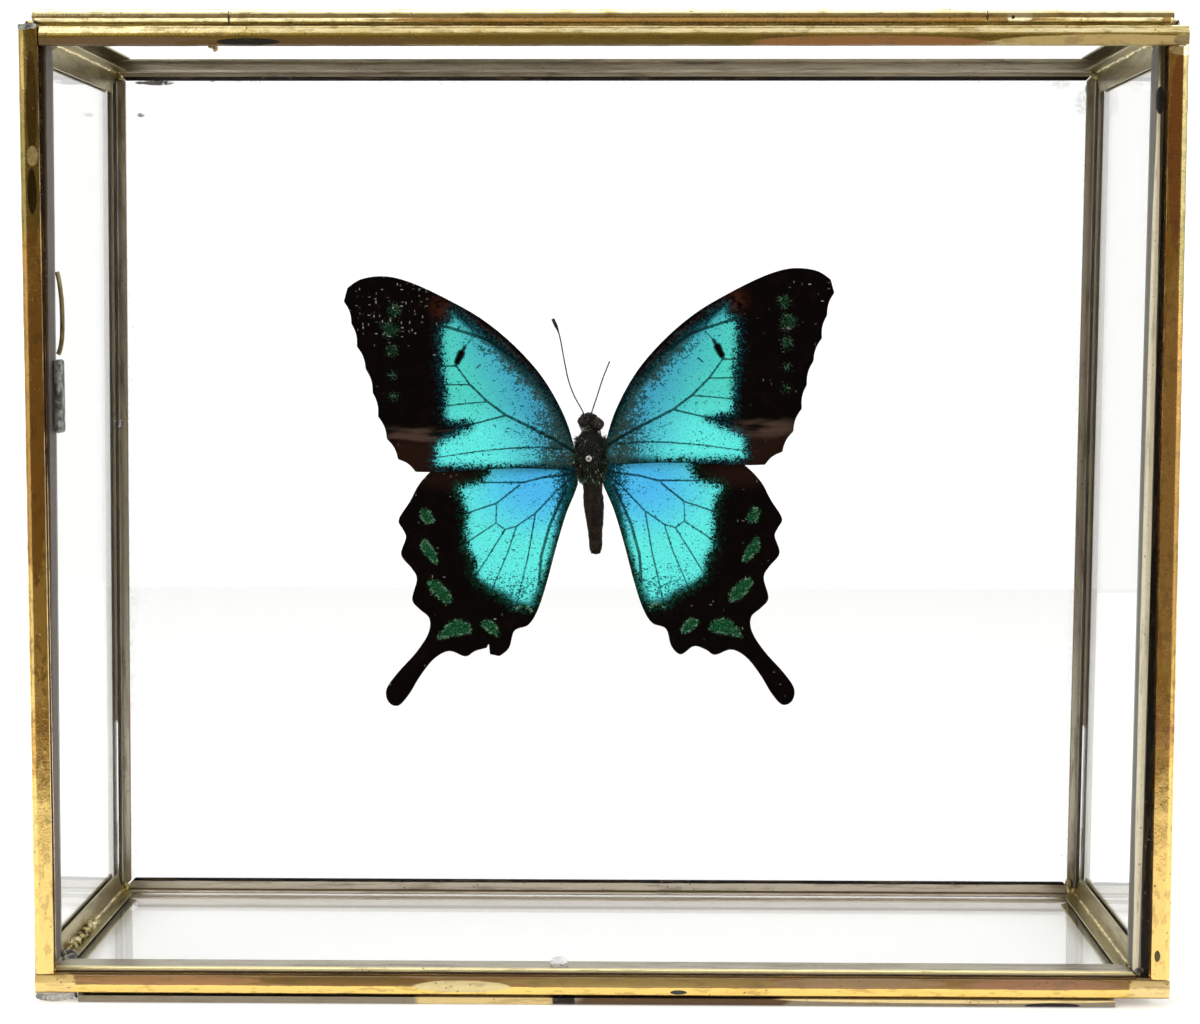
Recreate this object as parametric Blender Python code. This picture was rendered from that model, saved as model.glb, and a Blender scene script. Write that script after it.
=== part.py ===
# Glass and brass display case with a mounted swallowtail butterfly.
# Units are metres, +Z is up and the lid faces -Y.
# The origin is the middle of the outer box, on the surface that the case stands on.

import math

import bmesh
import bpy
from mathutils import Vector

MM = 0.001

# Driving dimensions of the case
LID_WIDTH = 200.0 * MM
LID_HEIGHT = 169.1 * MM
OVERALL_DEPTH = 67.0 * MM
LID_BOTTOM = 1.4 * MM
CASE_BOTTOM = 1.9 * MM
CASE_TOP = 171.8 * MM
CASE_HALF_WIDTH = 99.365 * MM
LID_TO_CASE = 0.4 * MM
GAP = 0.3 * MM

# The lid sits a little to the right of the case, which leans a little out of square
LID_CENTRE_X = 0.45 * MM
CASE_CENTRE_X = -0.45 * MM
LEAN = 1.27 * MM

# Brass came: a thin folded strip round the edge of a pane
WALL = 0.35 * MM
GLASS = 1.7 * MM
CAME = 2 * WALL + 2 * GAP + GLASS
PANE_SET_BACK = WALL + GAP
CAME_ROUNDING = 0.45 * MM
LID_FACE = 3.3 * MM
RIM_DEEP = 5.3 * MM
RIM_SIDE = 3.8 * MM
RIM_BOTTOM = 3.7 * MM
MITRE_GAP = 0.2 * MM

# Hinge along the top of the lid
HINGE_RADIUS = 1.25 * MM
HINGE_BORE = 0.9 * MM
HINGE_WIRE = 0.6 * MM
HINGE_Y = -OVERALL_DEPTH / 2 + CAME / 2
HINGE_Z = 172.1 * MM
HINGE_STOPS = (-97.0 * MM, -63.1 * MM, 65.9 * MM, 97.7 * MM)
TUBE_GAP = 0.4 * MM

LID_FRONT_Y = -OVERALL_DEPTH / 2
CASE_FRONT_Y = LID_FRONT_Y + CAME + LID_TO_CASE
CASE_BACK_Y = OVERALL_DEPTH / 2
CASE_LOW = Vector((-CASE_HALF_WIDTH, CASE_FRONT_Y, CASE_BOTTOM))
CASE_HIGH = Vector((CASE_HALF_WIDTH, CASE_BACK_Y, CASE_TOP))

# Butterfly, measured from the middle of its thorax
THORAX = Vector((-2.0 * MM, 0.0, 94.4 * MM))
WING_THICKNESS = 0.4 * MM
FOREWING_Y = -1.7 * MM
HINDWING_Y = -0.2 * MM
WING_RISE = 0.05
WING_PLEAT = 0.15 * MM
PLEAT_ANGLE = 7.5
PIN_X = -0.2 * MM
PIN_Z = 0.4 * MM
PIN_RADIUS = 0.25 * MM
PIN_BORE = 0.42 * MM
PIN_HEAD_Y = -5.4 * MM
PIN_TIP_Y = 27.0 * MM
POST_RADIUS = 1.5 * MM
POST_START_Y = 3.6 * MM


def clear_scene():
    for obj in list(bpy.data.objects):
        bpy.data.objects.remove(obj, do_unlink=True)


# Materials

def material(name, colour, roughness, metallic=0.0, transmission=0.0):
    mat = bpy.data.materials.new(name)
    mat.use_nodes = True
    shader = mat.node_tree.nodes["Principled BSDF"]
    shader.inputs["Base Color"].default_value = (*colour, 1.0)
    shader.inputs["Roughness"].default_value = roughness
    shader.inputs["Metallic"].default_value = metallic
    shader.inputs["Transmission Weight"].default_value = transmission
    mat.diffuse_color = (*colour, 1.0)
    return mat


def make_materials():
    return {
        "glass": material("clear_glass", (0.94, 0.97, 0.96), 0.02, transmission=1.0),
        "bright": material("bright_brass", (0.74, 0.52, 0.18), 0.25, metallic=1.0),
        "dull": material("dull_brass", (0.30, 0.26, 0.19), 0.45, metallic=1.0),
        "solder": material("solder", (0.32, 0.33, 0.33), 0.5, metallic=1.0),
        "plastic": material("clear_plastic", (0.9, 0.9, 0.88), 0.1, transmission=0.9),
        "forewing": material("forewing_scales", (0.05, 0.42, 0.55), 0.6),
        "hindwing": material("hindwing_scales", (0.04, 0.36, 0.48), 0.6),
        "insect": material("insect_body", (0.03, 0.035, 0.03), 0.8),
        "horn": material("insect_horn", (0.02, 0.018, 0.015), 0.5),
        "steel": material("pin_steel", (0.6, 0.6, 0.6), 0.3, metallic=1.0),
    }


# Helpers that make meshes

def new_object(name, bm, mat, parent=None):
    bmesh.ops.recalc_face_normals(bm, faces=bm.faces)
    if bm.calc_volume(signed=True) < 0:
        bmesh.ops.reverse_faces(bm, faces=bm.faces)
    mesh = bpy.data.meshes.new(name)
    bm.to_mesh(mesh)
    bm.free()
    mesh.materials.append(mat)
    obj = bpy.data.objects.new(name, mesh)
    bpy.context.scene.collection.objects.link(obj)
    obj.parent = parent
    return obj


def place_on_axis(obj, pivot):
    """Moves the mesh so that its object's origin, and so its turning point, is the pivot."""
    for vertex in obj.data.vertices:
        vertex.co -= pivot.location
    obj.parent = pivot


def lean_with_case(obj):
    """Shifts each point sideways by its height, as the whole case has racked."""
    for vertex in obj.data.vertices:
        share = (vertex.co.z - CASE_BOTTOM) / (CASE_TOP - CASE_BOTTOM) - 0.5
        vertex.co.x += CASE_CENTRE_X + LEAN * share


def box_mesh(low, high):
    bm = bmesh.new()
    bmesh.ops.create_cube(bm, size=1.0)
    for vertex in bm.verts:
        for i in range(3):
            vertex.co[i] = low[i] if vertex.co[i] < 0 else high[i]
    return bm


def prism_mesh(outline, start, end):
    """A closed bar along its first coordinate, with the outline in the other two."""
    bm = bmesh.new()
    first = [bm.verts.new((start, a, b)) for a, b in outline]
    last = [bm.verts.new((end, a, b)) for a, b in outline]
    bm.faces.new(first)
    bm.faces.new(last)
    count = len(outline)
    for i in range(count):
        j = (i + 1) % count
        bm.faces.new((first[i], first[j], last[j], last[i]))
    bmesh.ops.recalc_face_normals(bm, faces=bm.faces)
    return bm


def cut_away(bm, point, direction):
    """Removes what lies on the side that the direction points to and closes the cut."""
    geometry = bm.verts[:] + bm.edges[:] + bm.faces[:]
    bmesh.ops.bisect_plane(
        bm, geom=geometry, dist=1e-7, plane_co=point, plane_no=direction, clear_outer=True
    )
    open_edges = [edge for edge in bm.edges if edge.is_boundary]
    bmesh.ops.holes_fill(bm, edges=open_edges, sides=0)


def rounded_corner(corner, along_in, along_out, radius, steps=3):
    """Points of the arc that replaces an outline's corner, from one side to the other."""
    centre = corner + (along_in + along_out) * radius
    points = []
    for i in range(steps + 1):
        angle = math.pi / 2 * i / steps
        offset = along_out * math.cos(angle) + along_in * math.sin(angle)
        points.append(centre - offset * radius)
    return [(p.x, p.y) for p in points]


def tube_mesh(stations, sides):
    """A closed tube round an axis along X, from (x, radius) pairs in the order that they are met."""
    bm = bmesh.new()
    rings = []
    for x, radius in stations:
        ring = []
        for i in range(sides):
            angle = 2 * math.pi * i / sides
            ring.append(bm.verts.new((x, radius * math.cos(angle), radius * math.sin(angle))))
        rings.append(ring)
    return bm, rings


def join_rings(bm, first, second):
    count = len(first)
    for i in range(count):
        j = (i + 1) % count
        bm.faces.new((first[i], first[j], second[j], second[i]))


def smooth_curve(points, steps, closed=False):
    """Catmull-Rom points through the given ones."""
    count = len(points)
    spans = count if closed else count - 1
    result = []
    for i in range(spans):
        if closed:
            p0, p1, p2, p3 = (Vector(points[(i + k) % count]) for k in (-1, 0, 1, 2))
        else:
            p0 = Vector(points[max(i - 1, 0)])
            p1 = Vector(points[i])
            p2 = Vector(points[i + 1])
            p3 = Vector(points[min(i + 2, count - 1)])
        for k in range(steps):
            t = k / steps
            result.append(
                0.5 * (2 * p1 + (p2 - p0) * t + (2 * p0 - 5 * p1 + 4 * p2 - p3) * t * t
                       + (3 * p1 - p0 - 3 * p2 + p3) * t ** 3)
            )
    if not closed:
        result.append(Vector(points[-1]))
    return result


def wire_object(name, points, radii, mat, resolution=2):
    """A round wire along the points, as a curve with filled ends."""
    data = bpy.data.curves.new(name, "CURVE")
    data.dimensions = "3D"
    data.bevel_depth = 1.0
    data.bevel_resolution = resolution
    data.use_fill_caps = True
    data.twist_mode = "MINIMUM"
    spline = data.splines.new("POLY")
    spline.points.add(len(points) - 1)
    for item, point, radius in zip(spline.points, points, radii):
        item.co = (*point, 1.0)
        item.radius = radius
    data.materials.append(mat)
    obj = bpy.data.objects.new(name, data)
    bpy.context.scene.collection.objects.link(obj)
    return obj


def shade_round(obj, degrees=40.0):
    obj.data.shade_smooth()
    obj.data.set_sharp_from_angle(angle=math.radians(degrees))


# The case: five panes held by brass cames along all twelve edges

# How far each corner came's legs reach past its corner, outside and inside the two panes.
# The first of each pair lies on the second pane that is named, the other on the first one.
SIDE_AND_LEVEL = ((3.4 * MM, 4.3 * MM), (2.4 * MM, 4.3 * MM))
SIDE_AND_BACK = ((1.3 * MM, 1.3 * MM), (1.6 * MM, 2.0 * MM))
TOP_AND_BACK = ((1.3 * MM, 1.3 * MM), (1.6 * MM, 0.9 * MM))
BOTTOM_AND_BACK = ((1.8 * MM, 1.3 * MM), (2.4 * MM, 0.9 * MM))


def corner_section(reaches):
    """Outline of a corner came, which grips one pane along each of its two legs."""
    (outer_a, outer_b), (inner_a, inner_b) = reaches
    outer_a, outer_b, inner_a, inner_b = (
        CAME + reach for reach in (outer_a, outer_b, inner_a, inner_b)
    )
    slot = CAME - WALL
    start = rounded_corner(Vector((0, 0)), Vector((0, 1)), Vector((1, 0)), CAME_ROUNDING)
    return start + [
        (outer_a, 0), (outer_a, WALL), (CAME, WALL), (CAME, slot), (inner_a, slot),
        (inner_a, CAME), (CAME, CAME), (CAME, inner_b), (slot, inner_b), (slot, CAME),
        (WALL, CAME), (WALL, outer_b), (0, outer_b),
    ]


def rim_section(thickness):
    """Outline of a front came: a channel on one pane's edge, with the stop for the lid inside."""
    slot = CAME - WALL
    start = rounded_corner(Vector((0, 0)), Vector((0, 1)), Vector((1, 0)), CAME_ROUNDING)
    end = rounded_corner(
        Vector((thickness, 0)), Vector((-1, 0)), Vector((0, 1)), CAME_ROUNDING
    )
    return start + end + [
        (thickness, RIM_DEEP), (slot, RIM_DEEP), (slot, WALL), (WALL, WALL),
        (WALL, RIM_DEEP), (0, RIM_DEEP),
    ]


def case_came(name, mat, axis, section, first, second):
    """One edge of the case. first and second are (axis, side) of the faces that meet there.

    Where three cames meet, each keeps the points that lie farthest along it, which mitres them.
    """
    length = CASE_HIGH[axis] - CASE_LOW[axis]
    bm = prism_mesh(section, 0.0, length)
    for i in (1, 2):
        near = Vector((-1, 0, 0))
        near[i] = 1
        far = Vector((1, 0, 0))
        far[i] = 1
        cut_away(bm, Vector((MITRE_GAP, 0, 0)), near)
        cut_away(bm, Vector((length - MITRE_GAP, 0, 0)), far)
    for vertex in bm.verts:
        along, a, b = vertex.co
        point = Vector((0, 0, 0))
        point[axis] = CASE_LOW[axis] + along
        for (other, side), depth in ((first, a), (second, b)):
            if side < 0:
                point[other] = CASE_LOW[other] + depth
            else:
                point[other] = CASE_HIGH[other] - depth
        vertex.co = point
    obj = new_object(name, bm, mat)
    lean_with_case(obj)
    return obj


def make_case_cames(mats):
    x, y, z = 0, 1, 2
    sides = (("left", -1), ("right", 1))
    levels = (("bottom", -1), ("top", 1))
    depth_section = corner_section(SIDE_AND_LEVEL)
    upright_section = corner_section(SIDE_AND_BACK)
    for side_name, side in sides:
        rim = rim_section(RIM_SIDE)
        case_came(f"came_front_{side_name}", mats["dull"], z, rim, (x, side), (y, -1))
        name = f"came_back_{side_name}"
        case_came(name, mats["dull"], z, upright_section, (x, side), (y, 1))
        for level_name, level in levels:
            name = f"came_side_{level_name}_{side_name}"
            case_came(name, mats["dull"], y, depth_section, (x, side), (z, level))
    for level_name, level in levels:
        rim = rim_section(RIM_BOTTOM if level < 0 else CAME)
        case_came(f"came_front_{level_name}", mats["dull"], x, rim, (z, level), (y, -1))
        section = corner_section(BOTTOM_AND_BACK if level < 0 else TOP_AND_BACK)
        case_came(f"came_back_{level_name}", mats["dull"], x, section, (z, level), (y, 1))


def make_case_panes(mats):
    """Each pane lies in the slots of the four cames round it, clear of them by the gap."""
    edge = CAME + GAP
    front = WALL + GAP
    low, high = CASE_LOW, CASE_HIGH
    near, far = PANE_SET_BACK, PANE_SET_BACK + GLASS
    spans = {
        "pane_left": ((low.x + near, low.x + far), (low.y + front, high.y - edge),
                      (low.z + edge, high.z - edge)),
        "pane_right": ((high.x - far, high.x - near), (low.y + front, high.y - edge),
                       (low.z + edge, high.z - edge)),
        "pane_bottom": ((low.x + edge, high.x - edge), (low.y + front, high.y - edge),
                        (low.z + near, low.z + far)),
        "pane_top": ((low.x + edge, high.x - edge), (low.y + front, high.y - edge),
                     (high.z - far, high.z - near)),
        "pane_back": ((low.x + edge, high.x - edge), (high.y - far, high.y - near),
                      (low.z + edge, high.z - edge)),
    }
    for name, (span_x, span_y, span_z) in spans.items():
        bm = box_mesh((span_x[0], span_y[0], span_z[0]), (span_x[1], span_y[1], span_z[1]))
        lean_with_case(new_object(name, bm, mats["glass"]))


# What the case stands on: a brass strip under the front edge and a clear pad at three corners

STRIP_TOP = CASE_BOTTOM - GAP
FRONT_STRIP_X = (-92.0 * MM, 91.0 * MM)
STRIP_LIP_TOP = LID_BOTTOM - GAP
STRIP_BACK_Y = -25.5 * MM
PAD_RADIUS = 4.0 * MM
FRONT_PAD = (-96.45 * MM, -29.2 * MM)
FRONT_PAD_TOP = 1.1 * MM
BACK_PAD_RADIUS = 3.0 * MM
BACK_PADS = {"left": (-97.0 * MM, 30.0 * MM), "right": (95.9 * MM, 30.0 * MM)}


def pad(name, mat, centre, radius, height):
    bm = bmesh.new()
    bmesh.ops.create_cone(
        bm, cap_ends=True, segments=20, radius1=radius, radius2=radius * 0.9, depth=height
    )
    bmesh.ops.translate(bm, verts=bm.verts, vec=(*centre, height / 2))
    shade_round(new_object(name, bm, mat))


def make_base(mats):
    lip_end = CASE_FRONT_Y + GAP
    outline = [
        (LID_FRONT_Y + GAP, 0), (STRIP_BACK_Y, 0), (STRIP_BACK_Y, STRIP_TOP),
        (lip_end, STRIP_TOP), (lip_end, STRIP_LIP_TOP), (LID_FRONT_Y + GAP, STRIP_LIP_TOP),
    ]
    new_object("base_strip_front", prism_mesh(outline, *FRONT_STRIP_X), mats["bright"])
    pad("pad_front_left", mats["plastic"], FRONT_PAD, PAD_RADIUS, FRONT_PAD_TOP)
    for side, centre in BACK_PADS.items():
        pad(f"pad_back_{side}", mats["plastic"], centre, BACK_PAD_RADIUS, STRIP_TOP)


# The lid: one pane in a frame of four channels that butt at the corners

def lid_section():
    """Outline of a channel. The first number runs across the lid's face, the second is depth."""
    start = rounded_corner(Vector((0, 0)), Vector((0, 1)), Vector((1, 0)), CAME_ROUNDING)
    end = rounded_corner(Vector((0, CAME)), Vector((1, 0)), Vector((0, -1)), CAME_ROUNDING)
    return start + [
        (LID_FACE, 0), (LID_FACE, WALL), (WALL, WALL), (WALL, CAME - WALL),
        (LID_FACE, CAME - WALL), (LID_FACE, CAME),
    ] + end


def lid_bar(name, mat, pivot, axis, start, end, edge, inward):
    """A channel along X or Z. edge is where its closed side is, inward the way it opens."""
    bm = prism_mesh(lid_section(), start, end)
    other = 2 - axis
    for vertex in bm.verts:
        along, across, depth = vertex.co
        point = Vector((0, LID_FRONT_Y + depth, 0))
        point[axis] = along
        point[other] = edge + inward * across
        vertex.co = point
    obj = new_object(name, bm, mat)
    place_on_axis(obj, pivot)
    return obj


def make_lid(mats, pivot):
    left = LID_CENTRE_X - LID_WIDTH / 2
    right = LID_CENTRE_X + LID_WIDTH / 2
    bottom = LID_BOTTOM
    top = LID_BOTTOM + LID_HEIGHT
    above_bottom = bottom + LID_FACE + GAP
    brass = mats["bright"]
    lid_bar("lid_came_bottom", brass, pivot, 0, left, right, bottom, 1)
    lid_bar("lid_came_top", brass, pivot, 0, left + LID_FACE + GAP, right, top, -1)
    lid_bar("lid_came_left", brass, pivot, 2, above_bottom, top, left, 1)
    lid_bar("lid_came_right", brass, pivot, 2, above_bottom, top - LID_FACE - GAP, right, -1)
    low = (left + PANE_SET_BACK, LID_FRONT_Y + PANE_SET_BACK, bottom + PANE_SET_BACK)
    high = (right - PANE_SET_BACK, LID_FRONT_Y + PANE_SET_BACK + GLASS, top - PANE_SET_BACK)
    place_on_axis(new_object("pane_lid", box_mesh(low, high), mats["glass"]), pivot)


# The hinge: three lengths of brass tube on one wire

def hinge_tube(name, mat, start, end):
    stations = (
        (start, HINGE_RADIUS), (end, HINGE_RADIUS), (end, HINGE_BORE), (start, HINGE_BORE),
    )
    bm, rings = tube_mesh(stations, 20)
    for i in range(4):
        join_rings(bm, rings[i], rings[(i + 1) % 4])
    bmesh.ops.translate(bm, verts=bm.verts, vec=(0, HINGE_Y, HINGE_Z))
    obj = new_object(name, bm, mat)
    shade_round(obj)
    return obj


def make_hinge(mats, pivot):
    first, second, third, last = HINGE_STOPS
    hinge_tube("hinge_tube_left", mats["bright"], first, second - TUBE_GAP)
    hinge_tube("hinge_tube_right", mats["bright"], third + TUBE_GAP, last)
    place_on_axis(hinge_tube("hinge_tube_middle", mats["bright"], second, third), pivot)
    bm, rings = tube_mesh(((first - GAP, HINGE_WIRE), (last + GAP, HINGE_WIRE)), 12)
    join_rings(bm, *rings)
    for ring in rings:
        bm.faces.new(ring)
    bmesh.ops.translate(bm, verts=bm.verts, vec=(0, HINGE_Y, HINGE_Z))
    shade_round(new_object("hinge_wire", bm, mats["dull"]))


# The catch inside the left front came, and the clear stop that the lid closes against

CATCH_Y = -26.6 * MM
CATCH_WIRE = 0.42 * MM
CATCH_PATH = (
    (0.75, 128.6), (1.15, 126.8), (1.5, 123.5), (1.6, 120.0), (1.5, 117.0), (1.15, 115.0),
    (0.8, 114.2),
)
CATCH_SOLDER_Z = (100.4 * MM, 113.3 * MM)
CATCH_SOLDER_SIZE = (1.3 * MM, 3.4 * MM)
STOP_CENTRE = (-7.0 * MM, -27.4 * MM)
STOP_RADIUS = 1.6 * MM
STOP_HEIGHT = 1.2 * MM


def rim_face_x(height):
    """Where the left front came faces the inside of the case, at this height."""
    share = (height - CASE_BOTTOM) / (CASE_TOP - CASE_BOTTOM) - 0.5
    return -CASE_HALF_WIDTH + RIM_SIDE + CASE_CENTRE_X + LEAN * share


def make_catch(mats):
    route = [
        (rim_face_x(z * MM) + x * MM, CATCH_Y, z * MM) for x, z in CATCH_PATH
    ]
    points = smooth_curve(route, 3)
    wire_object("catch_wire", points, [CATCH_WIRE] * len(points), mats["dull"])
    low_z, high_z = CATCH_SOLDER_Z
    face = rim_face_x(high_z) + GAP
    wide, deep = CATCH_SOLDER_SIZE
    bm = box_mesh(
        (face, CATCH_Y - deep / 2, low_z), (face + wide, CATCH_Y + deep / 2, high_z)
    )
    bmesh.ops.bevel(
        bm, geom=bm.edges[:], offset=0.5 * MM, segments=2, profile=0.5, affect="EDGES"
    )
    shade_round(new_object("catch_solder", bm, mats["solder"]), 60.0)


def make_stop(mats):
    base = CASE_BOTTOM + RIM_BOTTOM + GAP
    rings = 4
    sides = 16
    bm = bmesh.new()
    previous = None
    for i in range(rings):
        angle = math.pi / 2 * i / rings
        radius = STOP_RADIUS * math.cos(angle)
        height = base + STOP_HEIGHT * math.sin(angle)
        ring = []
        for k in range(sides):
            turn = 2 * math.pi * k / sides
            x = STOP_CENTRE[0] + radius * math.cos(turn)
            y = STOP_CENTRE[1] + radius * math.sin(turn)
            ring.append(bm.verts.new((x, y, height)))
        if previous:
            join_rings(bm, previous, ring)
        else:
            bm.faces.new(ring)
        previous = ring
    crown = bm.verts.new((*STOP_CENTRE, base + STOP_HEIGHT))
    for k in range(sides):
        bm.faces.new((previous[k], previous[(k + 1) % sides], crown))
    shade_round(new_object("clear_stop", bm, mats["plastic"]))


# The butterfly's wings. Outlines are in millimetres out from and above the thorax.

FOREWING_COSTA = (
    (2.95, 0.8), (3.0, 3.6), (4.8, 9.4), (8.5, 16.2), (13.4, 22.0), (19.2, 27.0),
    (25.3, 30.7), (32.0, 34.0), (37.0, 35.4), (41.5, 35.0), (44.2, 33.4),
)
FOREWING_VEIN_TIPS = (
    (44.9, 30.9), (43.6, 26.8), (42.7, 22.6), (41.2, 18.4), (40.0, 14.0), (39.1, 9.6),
    (37.6, 5.4), (35.6, 1.6), (32.4, -0.8),
)
FOREWING_HIND_EDGE = (
    (32.4, -0.8), (28.5, -0.9), (22.0, -0.7), (14.0, -0.5), (7.0, -0.8), (3.3, -1.0),
)
FOREWING_SCALLOP = 0.4
HINDWING_OUTLINE = (
    (3.45, -0.4), (8.0, 0.4), (14.0, 1.4), (21.0, 1.8), (26.0, 0.6), (29.0, -1.2),
    (31.8, -4.1), (33.6, -7.4), (35.7, -10.8), (35.0, -12.6), (34.4, -14.2), (35.3, -17.4),
    (33.4, -19.9), (32.4, -22.0), (33.3, -25.8), (32.0, -27.6), (30.1, -29.4), (30.3, -32.2),
    (32.6, -35.8), (36.2, -39.8), (38.2, -42.8), (37.8, -45.2), (36.0, -45.9), (34.0, -43.8),
    (31.8, -40.2), (29.2, -37.0), (26.4, -35.6), (23.4, -36.6), (21.6, -35.6), (19.4, -35.0),
    (17.0, -36.6), (15.2, -35.0), (14.2, -31.8), (11.6, -30.7), (9.8, -27.8), (8.1, -22.6),
    (6.5, -15.8), (4.9, -9.8), (3.7, -6.4), (3.2, -4.2),
)
TORN_AFTER = 29
TORN_POINTS = ((19.0, -34.2), (18.8, -36.2))
LEFT_FOREWING_TURN = -1.0
LEFT_FOREWING_DROP = -0.9
LEFT_HINDWING_DROP = -0.45
WING_RAYS = 13
WING_BANDS = (10.0, 20.0, 30.0)


def scalloped(tips, depth):
    """The margin between vein tips, hollowed a little between each pair."""
    points = []
    for (ax, ay), (bx, by) in zip(tips, tips[1:]):
        start, end = Vector((ax, ay)), Vector((bx, by))
        along = end - start
        inward = Vector((along.y, -along.x)).normalized()
        points.append(start)
        for t in (0.3, 0.5, 0.7):
            points.append(start + along * t + inward * depth * math.sin(math.pi * t))
    return points


def forewing_outline():
    costa = smooth_curve(FOREWING_COSTA, 3)
    margin = scalloped(FOREWING_VEIN_TIPS, FOREWING_SCALLOP)
    hind = smooth_curve(FOREWING_HIND_EDGE, 2)
    return costa + margin + hind


def hindwing_outline(torn):
    if not torn:
        return smooth_curve(HINDWING_OUTLINE, 2, closed=True)
    before = smooth_curve(HINDWING_OUTLINE[: TORN_AFTER + 1], 2)
    after = smooth_curve(HINDWING_OUTLINE[TORN_AFTER + 1 :], 2)
    return before + [Vector(p) for p in TORN_POINTS] + after


def pleat(out, up):
    """Height of the wing's fan folds: none at the root and full from mid-wing on."""
    angle = math.degrees(math.atan2(up, out))
    phase = (angle / PLEAT_ANGLE) % 2.0
    reach = min(1.0, math.hypot(out, up) / 18.0)
    return WING_PLEAT * reach * (abs(phase - 1.0) * 2.0 - 1.0)


def wing_object(name, mat, outline, side, depth_y, turn=0.0, drop=0.0):
    """A wing from its outline. Rays from the root and bands across it carry the folds."""
    bm = bmesh.new()
    bm.faces.new([bm.verts.new((p.x, 0.0, p.y)) for p in outline])
    cuts = []
    for k in range(-WING_RAYS, WING_RAYS):
        angle = math.radians(PLEAT_ANGLE * k)
        cuts.append((Vector((0, 0, 0)), Vector((-math.sin(angle), 0, math.cos(angle)))))
    for band in WING_BANDS:
        cuts.append((Vector((band, 0, 0)), Vector((1, 0, 0))))
        cuts.append((Vector((0, 0, -band)), Vector((0, 0, 1))))
    for point, direction in cuts:
        geometry = bm.verts[:] + bm.edges[:] + bm.faces[:]
        bmesh.ops.bisect_plane(
            bm, geom=geometry, dist=1e-4, plane_co=point, plane_no=direction
        )
    turn = math.radians(turn)
    for vertex in bm.verts:
        out, _, up = vertex.co
        lift = depth_y - WING_RISE * out * MM - pleat(out, up)
        turned_out = out * math.cos(turn) - up * math.sin(turn)
        turned_up = out * math.sin(turn) + up * math.cos(turn) + drop
        vertex.co = THORAX + Vector((side * turned_out * MM, lift, turned_up * MM))
    bmesh.ops.triangulate(bm, faces=bm.faces)
    obj = new_object(name, bm, mat)
    thickness = obj.modifiers.new("thickness", "SOLIDIFY")
    thickness.thickness = WING_THICKNESS
    thickness.offset = 0.0
    return obj


def make_wings(mats):
    front = mats["forewing"]
    hind = mats["hindwing"]
    outline = forewing_outline()
    wing_object("forewing_right", front, outline, 1, FOREWING_Y)
    wing_object(
        "forewing_left", front, outline, -1, FOREWING_Y, LEFT_FOREWING_TURN,
        LEFT_FOREWING_DROP,
    )
    wing_object("hindwing_right", hind, hindwing_outline(False), 1, HINDWING_Y)
    wing_object(
        "hindwing_left", hind, hindwing_outline(True), -1, HINDWING_Y, 0.0,
        LEFT_HINDWING_DROP,
    )


# The butterfly's body, antennae and folded legs. Numbers are millimetres from the thorax.

BODY_STATIONS = (
    (8.7, -0.3, 0.5, 0.5), (8.2, -0.3, 1.4, 1.3), (7.2, -0.2, 2.0, 1.7), (6.0, -0.1, 1.7, 1.6),
    (5.2, 0.0, 1.5, 1.5), (4.3, 0.0, 2.3, 2.2), (2.2, 0.0, 3.0, 2.8), (-0.4, 0.1, 3.1, 2.9),
    (-2.8, 0.2, 2.7, 2.6), (-4.4, 0.3, 1.9, 1.9), (-5.6, 0.4, 1.8, 1.9), (-8.0, 0.6, 2.0, 2.2),
    (-11.0, 0.8, 1.8, 2.0), (-14.0, 0.9, 1.45, 1.6), (-16.6, 1.0, 1.15, 1.2),
    (-17.8, 1.0, 0.5, 0.5),
)
BODY_SIDES = 18
EYE_RADIUS = 1.25
EYE_PLACE = (1.3, -0.5, 7.3)
LEFT_ANTENNA = ((-1.5, 9.1), (-3.0, 11.8), (-4.1, 14.8), (-4.9, 18.6), (-5.8, 23.2), (-7.0, 26.1))
RIGHT_ANTENNA = ((0.4, 9.2), (1.2, 11.6), (2.3, 15.0), (3.6, 18.3))
ANTENNA_RADIUS = 0.2
CLUB_RADIUS = 0.42
LEG_RADIUS = 0.24
ABDOMEN_SHIFT = 0.1
LEG_ROUTES = {
    "front": ((1.7, 2.8, 2.6), (1.9, 4.6, 3.6), (1.4, 6.4, 5.8), (0.9, 7.4, 3.2)),
    "middle": ((1.9, 3.1, -0.9), (4.4, 5.0, 0.6), (5.8, 6.8, -0.2), (4.2, 7.8, -3.4)),
    "hind": ((1.7, 2.9, -2.4), (1.7, 4.8, -3.8), (1.2, 6.2, -7.6), (0.7, 7.2, -12.2)),
}


def subtract_pin_hole(obj, radius, start, end):
    """Cuts the round hole that the pin passes through, along Y."""
    bm, rings = tube_mesh(((start, radius), (end, radius)), 12)
    join_rings(bm, *rings)
    for ring in rings:
        bm.faces.new(ring)
    for vertex in bm.verts:
        x, y, z = vertex.co
        vertex.co = (THORAX.x + PIN_X + y, x, THORAX.z + PIN_Z + z)
    cutter = new_object(f"{obj.name}_pin_hole_cutter", bm, obj.data.materials[0])
    cutter.hide_render = True
    cutter.display_type = "WIRE"
    hole = obj.modifiers.new("pin_hole", "BOOLEAN")
    hole.operation = "DIFFERENCE"
    hole.solver = "EXACT"
    hole.object = cutter


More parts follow.
